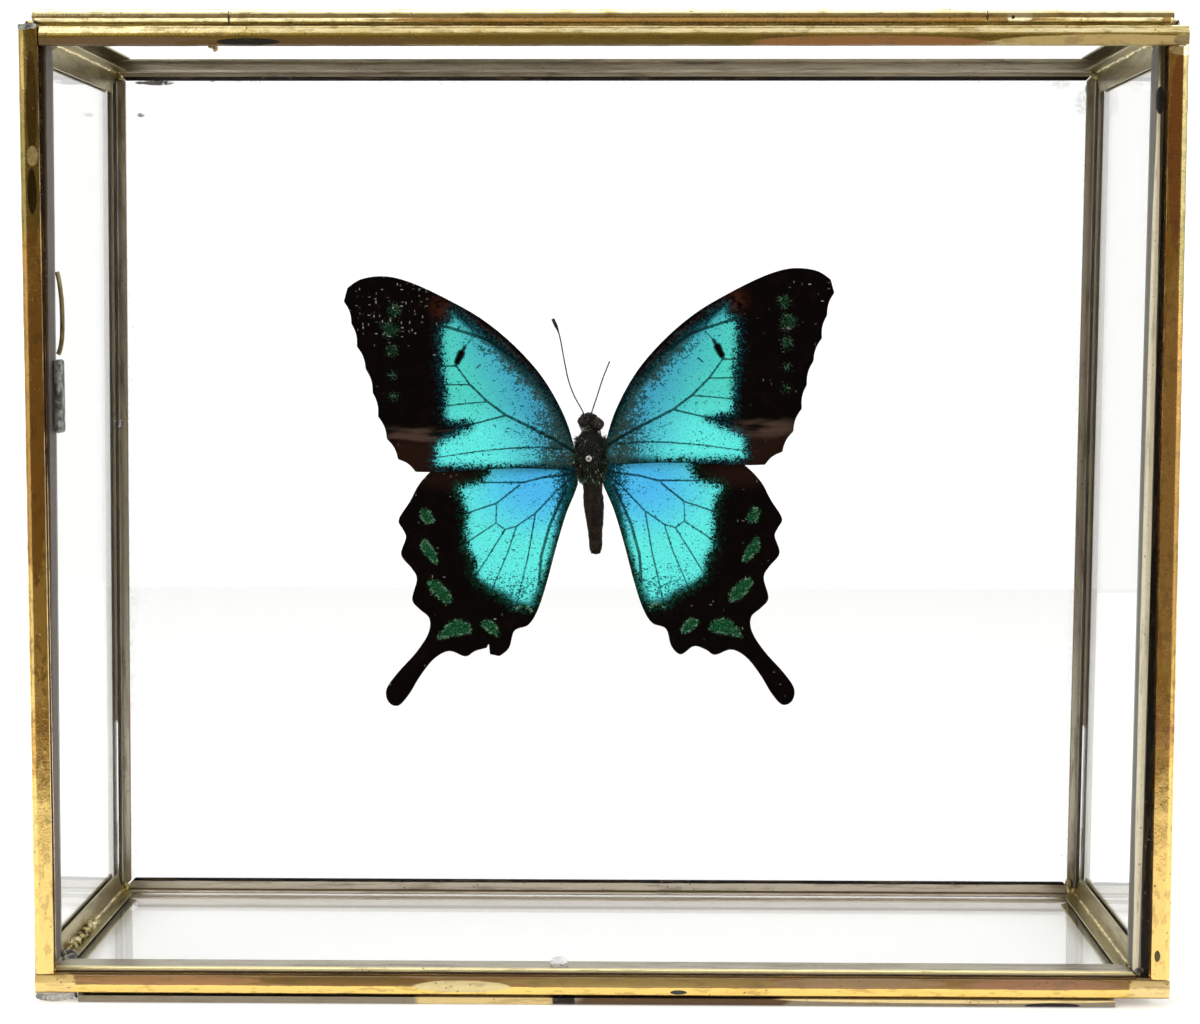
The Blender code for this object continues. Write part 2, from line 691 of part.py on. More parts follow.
def make_body(mats):
    bm = bmesh.new()
    rings = []
    for height, shift, half_wide, half_deep in BODY_STATIONS:
        ring = []
        for k in range(BODY_SIDES):
            turn = 2 * math.pi * k / BODY_SIDES
            x = (shift + half_wide * math.cos(turn)) * MM
            y = half_deep * math.sin(turn) * MM
            ring.append(bm.verts.new(THORAX + Vector((x, y, height * MM))))
        rings.append(ring)
    for first, second in zip(rings, rings[1:]):
        join_rings(bm, first, second)
    bm.faces.new(rings[0])
    bm.faces.new(rings[-1])
    body = new_object("butterfly_body", bm, mats["insect"])
    for name, side in (("left", -1), ("right", 1)):
        bm = bmesh.new()
        bmesh.ops.create_icosphere(bm, subdivisions=2, radius=EYE_RADIUS * MM)
        out, depth, up = EYE_PLACE
        place = THORAX + Vector(((side * out - 0.2) * MM, depth * MM, up * MM))
        bmesh.ops.translate(bm, verts=bm.verts, vec=place)
        eye = new_object(f"eye_{name}_shape", bm, mats["insect"])
        eye.hide_render = True
        eye.display_type = "WIRE"
        join = body.modifiers.new(f"eye_{name}", "BOOLEAN")
        join.operation = "UNION"
        join.solver = "EXACT"
        join.object = eye
    subtract_pin_hole(body, PIN_BORE, -6.0 * MM, 6.0 * MM)
    body.data.shade_smooth()


def make_antennae(mats):
    for name, path, club in (("left", LEFT_ANTENNA, True), ("right", RIGHT_ANTENNA, False)):
        route = [THORAX + Vector((x * MM, -1.0 * MM, z * MM)) for x, z in path]
        points = smooth_curve(route, 4)
        radii = []
        for i in range(len(points)):
            along = i / (len(points) - 1)
            radius = ANTENNA_RADIUS
            if club and along > 0.84:
                radius = CLUB_RADIUS
            elif club and along > 0.76:
                radius = (ANTENNA_RADIUS + CLUB_RADIUS) / 2
            radii.append(radius * MM)
        wire_object(f"antenna_{name}", points, radii, mats["horn"], 1)


def make_legs(mats):
    """The legs are folded behind the body, so the lower ones follow the abdomen sideways."""
    for pair, route in LEG_ROUTES.items():
        for name, side in (("left", -1), ("right", 1)):
            joints = []
            for x, y, z in route:
                shift = ABDOMEN_SHIFT * min(max(-z, 0.0), 9.0)
                joints.append(THORAX + Vector((side * x + shift, y, z)) * MM)
            points = smooth_curve(joints, 3)
            last = len(points) - 1
            radii = [LEG_RADIUS * MM * (1.0 - 0.45 * i / last) for i in range(len(points))]
            wire_object(f"leg_{pair}_{name}", points, radii, mats["horn"], 1)


# What holds the butterfly: a steel pin through the thorax into a clear post on the back pane

PIN_HEAD_RADIUS = 0.62 * MM
POST_PAD_RADIUS = 4.0 * MM
POST_PAD_THICKNESS = 1.2 * MM
POST_HOLE_DEPTH = 25.0 * MM


def turned_along_y(name, mat, profile, sides):
    """A solid turned round the pin's line, from (y, radius) pairs, closed at both ends."""
    bm, rings = tube_mesh(profile, sides)
    for first, second in zip(rings, rings[1:]):
        join_rings(bm, first, second)
    bm.faces.new(rings[0])
    bm.faces.new(rings[-1])
    for vertex in bm.verts:
        x, y, z = vertex.co
        vertex.co = (THORAX.x + PIN_X + y, x, THORAX.z + PIN_Z + z)
    obj = new_object(name, bm, mat)
    shade_round(obj)
    return obj


def make_pin_and_post(mats):
    head = PIN_HEAD_Y
    turned_along_y("insect_pin", mats["steel"], (
        (head - 0.45 * MM, PIN_HEAD_RADIUS * 0.45),
        (head - 0.25 * MM, PIN_HEAD_RADIUS * 0.9),
        (head, PIN_HEAD_RADIUS),
        (head + 0.25 * MM, PIN_HEAD_RADIUS * 0.85),
        (head + 0.4 * MM, PIN_RADIUS),
        (PIN_TIP_Y - 1.5 * MM, PIN_RADIUS),
        (PIN_TIP_Y, 0.05 * MM),
    ), 12)
    post_end = CASE_BACK_Y - PANE_SET_BACK - GLASS - GAP
    post = turned_along_y("clear_post", mats["plastic"], (
        (POST_START_Y, POST_RADIUS * 0.9),
        (POST_START_Y + 0.4 * MM, POST_RADIUS),
        (post_end - POST_PAD_THICKNESS - 1.0 * MM, POST_RADIUS),
        (post_end - POST_PAD_THICKNESS, POST_PAD_RADIUS * 0.9),
        (post_end, POST_PAD_RADIUS),
    ), 20)
    subtract_pin_hole(post, PIN_BORE, POST_START_Y - 1.0 * MM, POST_START_Y + POST_HOLE_DEPTH)


def main():
    clear_scene()
    mats = make_materials()
    pivot = bpy.data.objects.new("lid_hinge_axis", None)
    pivot.location = (0.0, HINGE_Y, HINGE_Z)
    bpy.context.scene.collection.objects.link(pivot)
    make_case_cames(mats)
    make_case_panes(mats)
    make_base(mats)
    make_lid(mats, pivot)
    make_hinge(mats, pivot)
    make_catch(mats)
    make_stop(mats)
    make_wings(mats)
    make_body(mats)
    make_antennae(mats)
    make_legs(mats)
    make_pin_and_post(mats)


main()
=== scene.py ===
# %% [markdown]
# # A butterfly in a glass and brass case
#
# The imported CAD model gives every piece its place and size: panes, brass edging, hinge, pin and
# wings. This lesson dresses it. Each step first says what the piece is on the real object and which
# ways there are to make it, and then makes it in a short code cell.

# %% Load the frame
import math
import random
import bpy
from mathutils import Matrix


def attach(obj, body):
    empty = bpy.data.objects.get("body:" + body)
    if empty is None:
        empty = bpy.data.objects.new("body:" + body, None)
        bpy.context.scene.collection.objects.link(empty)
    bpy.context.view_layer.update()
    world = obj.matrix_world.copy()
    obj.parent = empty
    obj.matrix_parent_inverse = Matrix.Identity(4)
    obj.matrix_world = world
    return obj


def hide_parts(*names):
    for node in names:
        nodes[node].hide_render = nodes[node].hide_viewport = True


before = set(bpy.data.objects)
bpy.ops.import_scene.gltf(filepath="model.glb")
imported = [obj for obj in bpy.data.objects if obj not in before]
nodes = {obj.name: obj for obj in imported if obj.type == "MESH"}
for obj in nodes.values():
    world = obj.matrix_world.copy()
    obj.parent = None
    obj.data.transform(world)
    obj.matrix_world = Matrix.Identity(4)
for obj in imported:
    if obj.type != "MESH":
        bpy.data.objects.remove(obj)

from types import SimpleNamespace

import bmesh
import bpy
import numpy as np
from mathutils import Matrix, Vector, geometry, noise

MM = 0.001
scene = bpy.context.scene
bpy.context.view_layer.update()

# %% [markdown]
# ## The camera
#
# The photograph was taken from a little above the middle, square on. The camera could be turned
# with a Track To constraint, but its small yaw, pitch and roll were worked out from the corners of
# the case, so it is simpler to build its three axes from those angles.

# %% Camera
CAMERA_AT = Vector((6.48, -448.03, 121.08)) * MM
CAMERA_YAW = math.radians(-0.855)
CAMERA_PITCH = math.radians(-4.677)
CAMERA_ROLL = math.radians(0.068)
CAMERA_LENS = 72.0


def camera_matrix():
    yaw, pitch, roll = CAMERA_YAW, CAMERA_PITCH, CAMERA_ROLL
    ahead = Vector((
        math.sin(yaw) * math.cos(pitch), math.cos(yaw) * math.cos(pitch), math.sin(pitch)
    ))
    right = Vector((math.cos(yaw), -math.sin(yaw), 0.0))
    above = right.cross(ahead)
    turned_right = right * math.cos(roll) + above * math.sin(roll)
    turned_above = above * math.cos(roll) - right * math.sin(roll)
    axes = Matrix((turned_right, turned_above, -ahead)).transposed()
    return Matrix.Translation(CAMERA_AT) @ axes.to_4x4()


camera = bpy.data.objects.new("camera", bpy.data.cameras.new("camera"))
scene.collection.objects.link(camera)
camera.data.lens = CAMERA_LENS
camera.data.clip_start = 0.01
camera.matrix_world = camera_matrix()
scene.camera = camera
print("camera at", [round(v, 3) for v in camera.location])

# %% [markdown]
# ## Shader maths that reads as maths
#
# Every finish here is a tree of nodes. Wired one by one, a tree takes a page, so a small class
# wraps an output socket: `1 - mask * 0.5` then adds the Math nodes by itself. Colours never go
# through a Math node, which would turn them grey: they are blended by `mix`.

# %% A socket that can be used in sums
class Value:
    """An output socket of a shader tree."""

    def __init__(self, tree, socket):
        self.tree = tree
        self.socket = socket

    def maths(self, operation, first, second=0.0):
        return self.tree.add("ShaderNodeMath", {"operation": operation}, {0: first, 1: second})

    def __add__(self, other):
        return self.maths("ADD", self, other)

    def __sub__(self, other):
        return self.maths("SUBTRACT", self, other)

    def __mul__(self, other):
        return self.maths("MULTIPLY", self, other)

    def __truediv__(self, other):
        return self.maths("DIVIDE", self, other)

    def __rsub__(self, other):
        return self.maths("SUBTRACT", other, self)

    def least(self, other):
        return self.maths("MINIMUM", self, other)

    def most(self, other):
        return self.maths("MAXIMUM", self, other)

    __radd__ = __add__
    __rmul__ = __mul__


print("sockets can be added, subtracted, multiplied and divided")


# %% The nodes of one material or world
class Tree:
    """The nodes of one material or world."""

    def __init__(self, owner):
        owner.use_nodes = True
        self.owner = owner
        self.nodes = owner.node_tree.nodes
        self.links = owner.node_tree.links
        self.nodes.clear()

    def add(self, kind, settings=None, sockets=None, output=0):
        """Adds a node: its settings first, then the values or links of its input sockets."""
        node = self.nodes.new(kind)
        for name, value in (settings or {}).items():
            setattr(node, name, value)
        for key, value in (sockets or {}).items():
            if isinstance(value, Value):
                self.links.new(value.socket, node.inputs[key])
            else:
                node.inputs[key].default_value = value
        return Value(self, node.outputs[output]) if len(node.outputs) else node

    def place(self):
        """Where a point is on the piece, in millimetres of the part's own frame."""
        at = self.add("ShaderNodeTexCoord", output="Object")
        return self.scaled(at, (1 / MM,) * 3)

    def scaled(self, vector, factors):
        settings = {"operation": "MULTIPLY"}
        return self.add("ShaderNodeVectorMath", settings, {0: vector, 1: factors})

    def parts(self, vector):
        return [self.add("ShaderNodeSeparateXYZ", None, {0: vector}, i) for i in range(3)]

    def attribute(self, name, output="Fac"):
        return self.add("ShaderNodeAttribute", {"attribute_name": name}, output=output)

    def noise(self, at, size, detail=3.0, roughness=0.55, distortion=0.0):
        """Noise whose lumps are about size millimetres across, from 0 to 1."""
        return self.add("ShaderNodeTexNoise", {"noise_dimensions": "3D"}, {
            "Vector": at, "Scale": 1.0 / size, "Detail": detail, "Roughness": roughness,
            "Distortion": distortion,
        })

    def cells(self, at, size, output="Distance"):
        """How far the nearest of points about size millimetres apart is, or its colour."""
        sockets = {"Vector": at, "Scale": 1.0 / size}
        return self.add("ShaderNodeTexVoronoi", {"feature": "F1"}, sockets, output)

    def step(self, value, low, high):
        """0 below low, 1 above high and smooth in between; low may be the larger one."""
        settings = {"interpolation_type": "SMOOTHSTEP"}
        if low < high:
            sockets = {"Value": value, "From Min": low, "From Max": high}
            return self.add("ShaderNodeMapRange", settings, sockets)
        sockets = {"Value": value, "From Min": high, "From Max": low, "To Min": 1.0, "To Max": 0.0}
        return self.add("ShaderNodeMapRange", settings, sockets)

    def near(self, at, centre, reach, blur=0.4):
        """1 inside an ellipsoid round the centre, in millimetres, and 0 outside it."""
        away = self.add("ShaderNodeVectorMath", {"operation": "SUBTRACT"}, {0: at, 1: centre})
        away = self.scaled(away, [1.0 / r for r in reach])
        far = self.add("ShaderNodeVectorMath", {"operation": "LENGTH"}, {0: away}, "Value")
        return self.step(far, 1.0 + blur, 1.0 - blur)

    def mix(self, factor, first, second):
        """A blend of two colours."""
        settings = {"data_type": "RGBA"}
        sockets = {0: factor, 6: self.colour(first), 7: self.colour(second)}
        return self.add("ShaderNodeMix", settings, sockets, 2)

    @staticmethod
    def colour(value):
        return value if isinstance(value, Value) else (*value, 1.0)

    def bump(self, height, distance, strength=1.0):
        sockets = {"Strength": strength, "Distance": distance * MM, "Height": height}
        return self.add("ShaderNodeBump", None, sockets)

    def principled(self, **sockets):
        named = {key.replace("_", " "): value for key, value in sockets.items()}
        for key in ("Base Color", "Emission Color"):
            if key in named:
                named[key] = self.colour(named[key])
        return self.add("ShaderNodeBsdfPrincipled", None, named)

    def finish(self, shader):
        self.add("ShaderNodeOutputMaterial", None, {"Surface": shader})
        return self.owner


def new_tree(name):
    return Tree(bpy.data.materials.new(name))


print("a tree has", sum(callable(getattr(Tree, name)) for name in dir(Tree)), "methods")


# %% Colours as they look on screen
def linear(*shown):
    """A colour as it looks on screen, 0 to 255, as the light values that shaders work in."""
    return tuple(((c / 255 + 0.055) / 1.055) ** 2.4 if c > 10 else c / 3295 for c in shown)


print("middle grey is", round(linear(128, 128, 128)[0], 3), "of white")

# %% [markdown]
# ## The studio
#
# The background of the photograph is pure white, and yet the front faces of the brass are dark:
# they mirror the unlit room behind the camera. One white world would make all the brass pale, so
# the world has two looks: white for what is seen directly or through glass, and a gradient for
# mirrored rays, dark towards the camera and bright at the sides, above and behind. What the front
# pane mirrors is darker still, or it would lay a grey veil over the black of the wings.
# The floor is a short white sheet, so that only the low part of the lid mirrors it.

# %% World
ROOM_DARK = linear(122, 104, 74)
PANE_DARK = (0.01, 0.01, 0.01)
ROOM_PALE = (1.0, 0.99, 0.97)
AMBIENT = 0.68
SEEN = 1.3
MIRRORED_ONCE = (0.4, 0.6)
TWO_FACES = (2.6, 2.4)
FRONT_OF_ROOM = (-0.6, -0.85)


def mirrored_by_pane(tree):
    """1 for one sharp mirror image, seen through at most the two faces of the lid's pane."""
    path = {name: tree.add("ShaderNodeLightPath", output=name) for name in (
        "Is Singular Ray", "Glossy Depth", "Transmission Depth"
    )}
    once = tree.step(path["Glossy Depth"], *MIRRORED_ONCE) * path["Is Singular Ray"]
    return once * tree.step(path["Transmission Depth"], *TWO_FACES)


def make_world():
    world = bpy.data.worlds.new("studio")
    tree = Tree(world)
    scene.world = world
    diffuse, depth = (
        tree.add("ShaderNodeLightPath", output=name) for name in ("Is Diffuse Ray", "Glossy Depth")
    )
    mirrored = tree.step(depth, *MIRRORED_ONCE)
    towards = tree.parts(tree.add("ShaderNodeTexCoord", output="Generated"))
    front = tree.step(towards[1], *FRONT_OF_ROOM)
    dark = tree.mix(mirrored_by_pane(tree), ROOM_DARK, PANE_DARK)
    room = tree.mix(front, ROOM_PALE, dark)
    plain = SEEN - diffuse * (SEEN - AMBIENT)
    grey = tree.add("ShaderNodeCombineXYZ", None, {0: plain, 1: plain, 2: plain})
    colour = tree.mix(mirrored, grey, room)
    background = tree.add("ShaderNodeBackground", None, {"Color": colour})
    tree.add("ShaderNodeOutputWorld", None, {"Surface": background})
    world.cycles.sampling_method = "NONE"
    scene.view_settings.view_transform = "Standard"


make_world()
print("world:", scene.world.name)

# %% Floor
FLOOR_FRONT = -0.20
FLOOR_BACK = 0.62
FLOOR_SIDE = 0.62
FLOOR_BELOW = 0.2 * MM
FLOOR_GLOW = 0.22
PAPER_GRAIN = 3.0


def make_floor():
    tree = new_tree("white_paper")
    grain = tree.noise(tree.place(), PAPER_GRAIN)
    shade = tree.mix(grain, (0.93, 0.93, 0.925), (0.95, 0.95, 0.945))
    paper = tree.principled(
        Base_Color=shade, Roughness=0.7, Emission_Color=(1.0, 1.0, 1.0),
        Emission_Strength=FLOOR_GLOW,
    )
    unlit = tree.principled(Base_Color=PANE_DARK, Roughness=1.0, Specular_IOR_Level=0.0)
    shader = tree.add("ShaderNodeMixShader", None, {0: mirrored_by_pane(tree), 1: paper, 2: unlit})
    corners = [
        (-FLOOR_SIDE, FLOOR_FRONT, 0), (FLOOR_SIDE, FLOOR_FRONT, 0),
        (FLOOR_SIDE, FLOOR_BACK, 0), (-FLOOR_SIDE, FLOOR_BACK, 0),
    ]
    mesh = bpy.data.meshes.new("floor")
    mesh.from_pydata(corners, [], [(0, 1, 2, 3)])
    mesh.materials.append(tree.finish(shader))
    floor = bpy.data.objects.new("floor", mesh)
    floor.location.z = -FLOOR_BELOW
    scene.collection.objects.link(floor)


make_floor()
print("floor:", round(2 * FLOOR_SIDE, 2), "by", round(FLOOR_BACK - FLOOR_FRONT, 2), "m")

# %% [markdown]
# Two soft boxes light the front of the wings. They stand well to the sides, because a lamp near the
# camera would be mirrored in the lid's pane and hide the butterfly behind a bright patch. A third
# one hangs overhead, for the top edges of the brass and for the floor.

# %% Lamps
# place, side of the square and power
LAMPS = {
    "soft_box_left": ((-0.75, -0.75, 0.75), 0.7, 5.2),
    "soft_box_right": ((0.85, -0.65, 0.45), 0.6, 3.4),
    "soft_box_top": ((0.0, 0.1, 1.1), 0.8, 3.8),
}
LAMP_AIM = Vector((0.0, 0.0, 0.085))


def make_lamps():
    for name, (place, size, power) in LAMPS.items():
        lamp = bpy.data.lights.new(name, "AREA")
        lamp.size = size
        lamp.energy = power
        obj = bpy.data.objects.new(name, lamp)
        obj.location = place
        obj.rotation_euler = (LAMP_AIM - obj.location).to_track_quat("-Z", "Y").to_euler()
        scene.collection.objects.link(obj)
    print("lamps:", ", ".join(LAMPS))


make_lamps()

# %% [markdown]
# ## Glass
#
# Each pane is a closed solid, so plain transmission with the index of window glass bends light as
# the real pane does. It casts no shadow, as the lamps shine straight through real glass. Flux haze
# and dust lie near the edges: they are a second, matt shader, mixed in by a mask. Seen almost edge
# on, window glass mirrors more than it lets through, but the photograph shows no mirror image in
# the top pane, so that pane alone has an index near that of air.

# %% Glass finish
CASE_LEAN = 1.27
CASE_CENTRE_X = -0.45
CASE_HALF_WIDTH = 99.365
CASE_BOTTOM = 1.9
CASE_HIGH_Z = 171.8
CASE_FRONT_Y = -30.1
CASE_BACK_Y = 33.5
CASE_MIDDLE = (-0.4, 1.7, 86.8)
INSIDE_HALF = (96.0, 30.0, 82.0)
DUST = linear(96, 92, 84)
GLASS_TINT = (0.985, 0.99, 0.985)
WINDOW_GLASS = 1.5
NEARLY_AIR = 1.005
HAZE_CLOUDS = 9.0
HAZE_GRAIN = 0.7
DUST_SPACING = 2.2
DUST_REACH = 7.0
MOST_DUST = 0.95


def inward_from_rim(tree, at, axes):
    """Millimetres from the nearest rim of a pane that lies along two axes."""
    parts = tree.parts(at)
    away = []
    for axis in axes:
        from_middle = tree.add(
            "ShaderNodeMath", {"operation": "ABSOLUTE"}, {0: parts[axis] - CASE_MIDDLE[axis]}
        )
        away.append(INSIDE_HALF[axis] - from_middle)
    return away[0].least(away[1])


def glass_finish(name, axes, haze, index=WINDOW_GLASS, spots=()):
    """haze is how strong the flux haze at the rim is; spots are (centre, reach, amount)."""
    tree = new_tree(name)
    at = tree.place()
    inward = inward_from_rim(tree, at, axes)
    cloud = tree.noise(at, HAZE_CLOUDS, 4.0)
    veil = tree.step(inward - cloud * 3.0, 2.0, -0.5)
    veil = veil * tree.step(tree.noise(at, HAZE_GRAIN, 3.0), 0.4, 0.6)
    speck = tree.step(tree.cells(at, DUST_SPACING), 0.12, 0.04) * tree.step(cloud, 0.5, 0.62)
    mask = (veil + speck * tree.step(inward, DUST_REACH, 0.0) * 5.0) * haze
    ragged = tree.step(tree.noise(at, 0.8, 3.0), 0.36, 0.5)
    for centre, reach, amount in spots:
        mask = mask.most(tree.near(at, centre, reach, 0.3) * ragged * amount)
    dust = tree.principled(Base_Color=DUST, Roughness=0.8)
    glass = tree.principled(
        Base_Color=GLASS_TINT, Roughness=0.0, IOR=index, Transmission_Weight=1.0
    )
    masked = tree.add("ShaderNodeMixShader", None, {0: mask.least(MOST_DUST), 1: glass, 2: dust})
    return tree.finish(masked)


print("glass of index", WINDOW_GLASS)


# %% Panes
def dress(name, finish):
    for slot in nodes[name].material_slots:
        slot.material = finish


def clear(obj):
    obj.visible_shadow = False
    obj.visible_diffuse = False


BACK_SPOTS = (
    ((-88.4, 32.0, 166.9), (3.0, 3.0, 0.45), 1.0), ((-91.6, 32.0, 166.9), (1.2, 3.0, 0.25), 0.9),
    ((-91.8, 32.0, 160.6), (0.7, 3.0, 0.4), 0.6), ((-77.5, 32.0, 167.3), (0.5, 3.0, 0.2), 0.5),
    ((-72.6, 32.0, 167.4), (0.8, 3.0, 0.15), 0.4), ((95.2, 32.0, 165.6), (0.35, 3.0, 1.0), 0.8),
    ((94.2, 32.0, 163.0), (1.4, 3.0, 2.6), 0.14), ((90.0, 32.0, 166.6), (2.0, 3.0, 1.0), 0.12),
)
SIDE_VIEW, FRONT_VIEW, TOP_VIEW = (1, 2), (0, 2), (0, 1)
pane_finishes = {
    "pane_lid": glass_finish("lid_glass", FRONT_VIEW, 0.03),
    "pane_back": glass_finish("back_glass", FRONT_VIEW, 0.07, spots=BACK_SPOTS),
    "pane_top": glass_finish("top_glass", TOP_VIEW, 0.04, NEARLY_AIR),
    "pane_bottom": glass_finish("bottom_glass", TOP_VIEW, 0.07),
}
side_finish = glass_finish("side_glass", SIDE_VIEW, 0.06)
panes = [name for name in nodes if name.startswith("pane_")]
for name in panes:
    dress(name, pane_finishes.get(name, side_finish))
    clear(nodes[name])
print("panes dressed:", len(panes))

# %% [markdown]
# ## Brass
#
# The edging is thin brass strip that was soldered and then pickled, so its colour runs from pale
# gold through amber to olive brown within a few millimetres, with specks of flux. One finish
# function makes all of it from three sizes of noise: clouds of tarnish, patches and specks.
# A painted map would need an image, and noise in millimetres has the right scale everywhere.

# %% Brass finish
PALE_GOLD = (0.92, 0.80, 0.45)
GOLD = (0.82, 0.58, 0.19)
DEEP_GOLD = (0.68, 0.42, 0.12)
AMBER = (0.56, 0.33, 0.1)
RED_BROWN = (0.40, 0.19, 0.09)
KHAKI = (0.44, 0.38, 0.2)
OLIVE = (0.28, 0.23, 0.10)
BROWN = (0.15, 0.105, 0.055)
# near black: soot on some cames, painted shade on others
SOOT = (0.014, 0.011, 0.009)
GREY = (0.34, 0.32, 0.27)
TAUPE = (0.24, 0.205, 0.15)
EVERYWHERE = 400.0
CLOUD_SIZE = 14.0
PATCH_SIZE = 3.4
MOTTLE_SIZE = 1.1
FINE_SIZE = 0.5
SPECK_SPACING = 1.3
BRASS_RELIEF = 0.09


def upright(tree, at):
    """The same point in a case that doesn't lean, measured from its middle."""
    x, y, z = tree.parts(at)
    share = (z - CASE_BOTTOM) / (CASE_HIGH_Z - CASE_BOTTOM) - 0.5
    return tree.add(
        "ShaderNodeCombineXYZ", None, {0: x - share * CASE_LEAN - CASE_CENTRE_X, 1: y, 2: z}
    )


def brass_finish(name, bright, mid, dark, tarnish=0.5, roughness=0.26, patches=(),
                 stretch=(1, 1, 1), leans=False):
    """patches are (centre, reach, colour, matt) in millimetres; a matt one is no mirror."""
    tree = new_tree(name)
    at = tree.place()
    spot_at = upright(tree, at) if leans else at
    grain = tree.scaled(at, stretch)
    cloud = tree.noise(grain, CLOUD_SIZE, 3.0)
    patch = tree.noise(grain, PATCH_SIZE, 4.0, 0.6, 0.4)
    mottle = tree.noise(grain, MOTTLE_SIZE, 3.0, 0.6)
    fine = tree.noise(at, FINE_SIZE, 3.0, 0.65)
    stain = cloud * 0.9 + patch * 0.8 + mottle * 0.4 + fine * 0.2 + (tarnish - 1.65)
    colour = tree.mix(tree.step(stain, -0.12, 0.06), bright, mid)
    colour = tree.mix(tree.step(stain, 0.04, 0.3), colour, dark)
    matt = 0.0
    for centre, reach, tone, dullness in patches:
        ragged = tree.near(spot_at, centre, reach, 0.4) + (patch - 0.5) * 0.5 + (mottle - 0.5) * 0.5
        here = tree.step(ragged, 0.42, 0.62)
        colour = tree.mix(here, colour, tone)
        if dullness or matt:
            matt = here * dullness + (1.0 - here) * matt
    pits = tree.step(mottle, 0.53, 0.63) * 0.5
    colour = tree.mix(pits, colour, tree.mix(0.65, colour, BROWN))
    speck = tree.step(tree.cells(at, SPECK_SPACING), 0.22, 0.1) * tree.step(patch, 0.5, 0.62)
    colour = tree.mix(speck * 0.8, colour, BROWN)
    relief = patch * 0.4 + mottle * 0.5 + fine * 0.3 + speck * 0.3
    shader = tree.principled(
        Base_Color=colour, Metallic=(1.0 - speck * 0.5) * (1.0 - matt),
        Roughness=roughness + (fine - 0.5) * 0.22 + tree.step(stain, 0.0, 0.4) * 0.12 + matt * 0.3,
        Normal=tree.bump(relief, BRASS_RELIEF, 0.7),
    )
    return tree.finish(shader)


print("brass is made of", (CLOUD_SIZE, PATCH_SIZE, MOTTLE_SIZE, FINE_SIZE), "mm noise")

# %% Solder, and the brass that has no patches of its own
DARK_SOLDER = (0.07, 0.07, 0.065)
PALE_SOLDER = (0.38, 0.38, 0.35)


def solder_finish():
    tree = new_tree("solder")
    at = tree.place()
    lumps = tree.noise(at, 1.6, 4.0)
    fine = tree.noise(at, 0.35, 3.0)
    shader = tree.principled(
        Base_Color=tree.mix(tree.step(lumps, 0.4, 0.64), DARK_SOLDER, PALE_SOLDER),
        Metallic=0.8, Roughness=0.34 + fine * 0.25,
        Normal=tree.bump(lumps + fine * 0.4, 0.12, 0.8),
    )
    return tree.finish(shader)


SOLDER = solder_finish()
ALONG_Y = (1, 0.15, 1)
ALONG_X = (0.12, 1, 1)
ALONG_Z = (1, 1, 0.12)
DEPTH_BRASS = brass_finish("depth_brass", KHAKI, OLIVE, TAUPE, 0.45, 0.3, (), ALONG_Y)
LUMP_BRASS = brass_finish("lump_brass", (0.6, 0.52, 0.32), OLIVE, BROWN, 0.5, 0.3)
WIRE_BRASS = brass_finish("wire_brass", KHAKI, OLIVE, BROWN, 0.6, 0.3)
print("plain finishes:", ", ".join(f.name for f in (SOLDER, DEPTH_BRASS, LUMP_BRASS, WIRE_BRASS)))
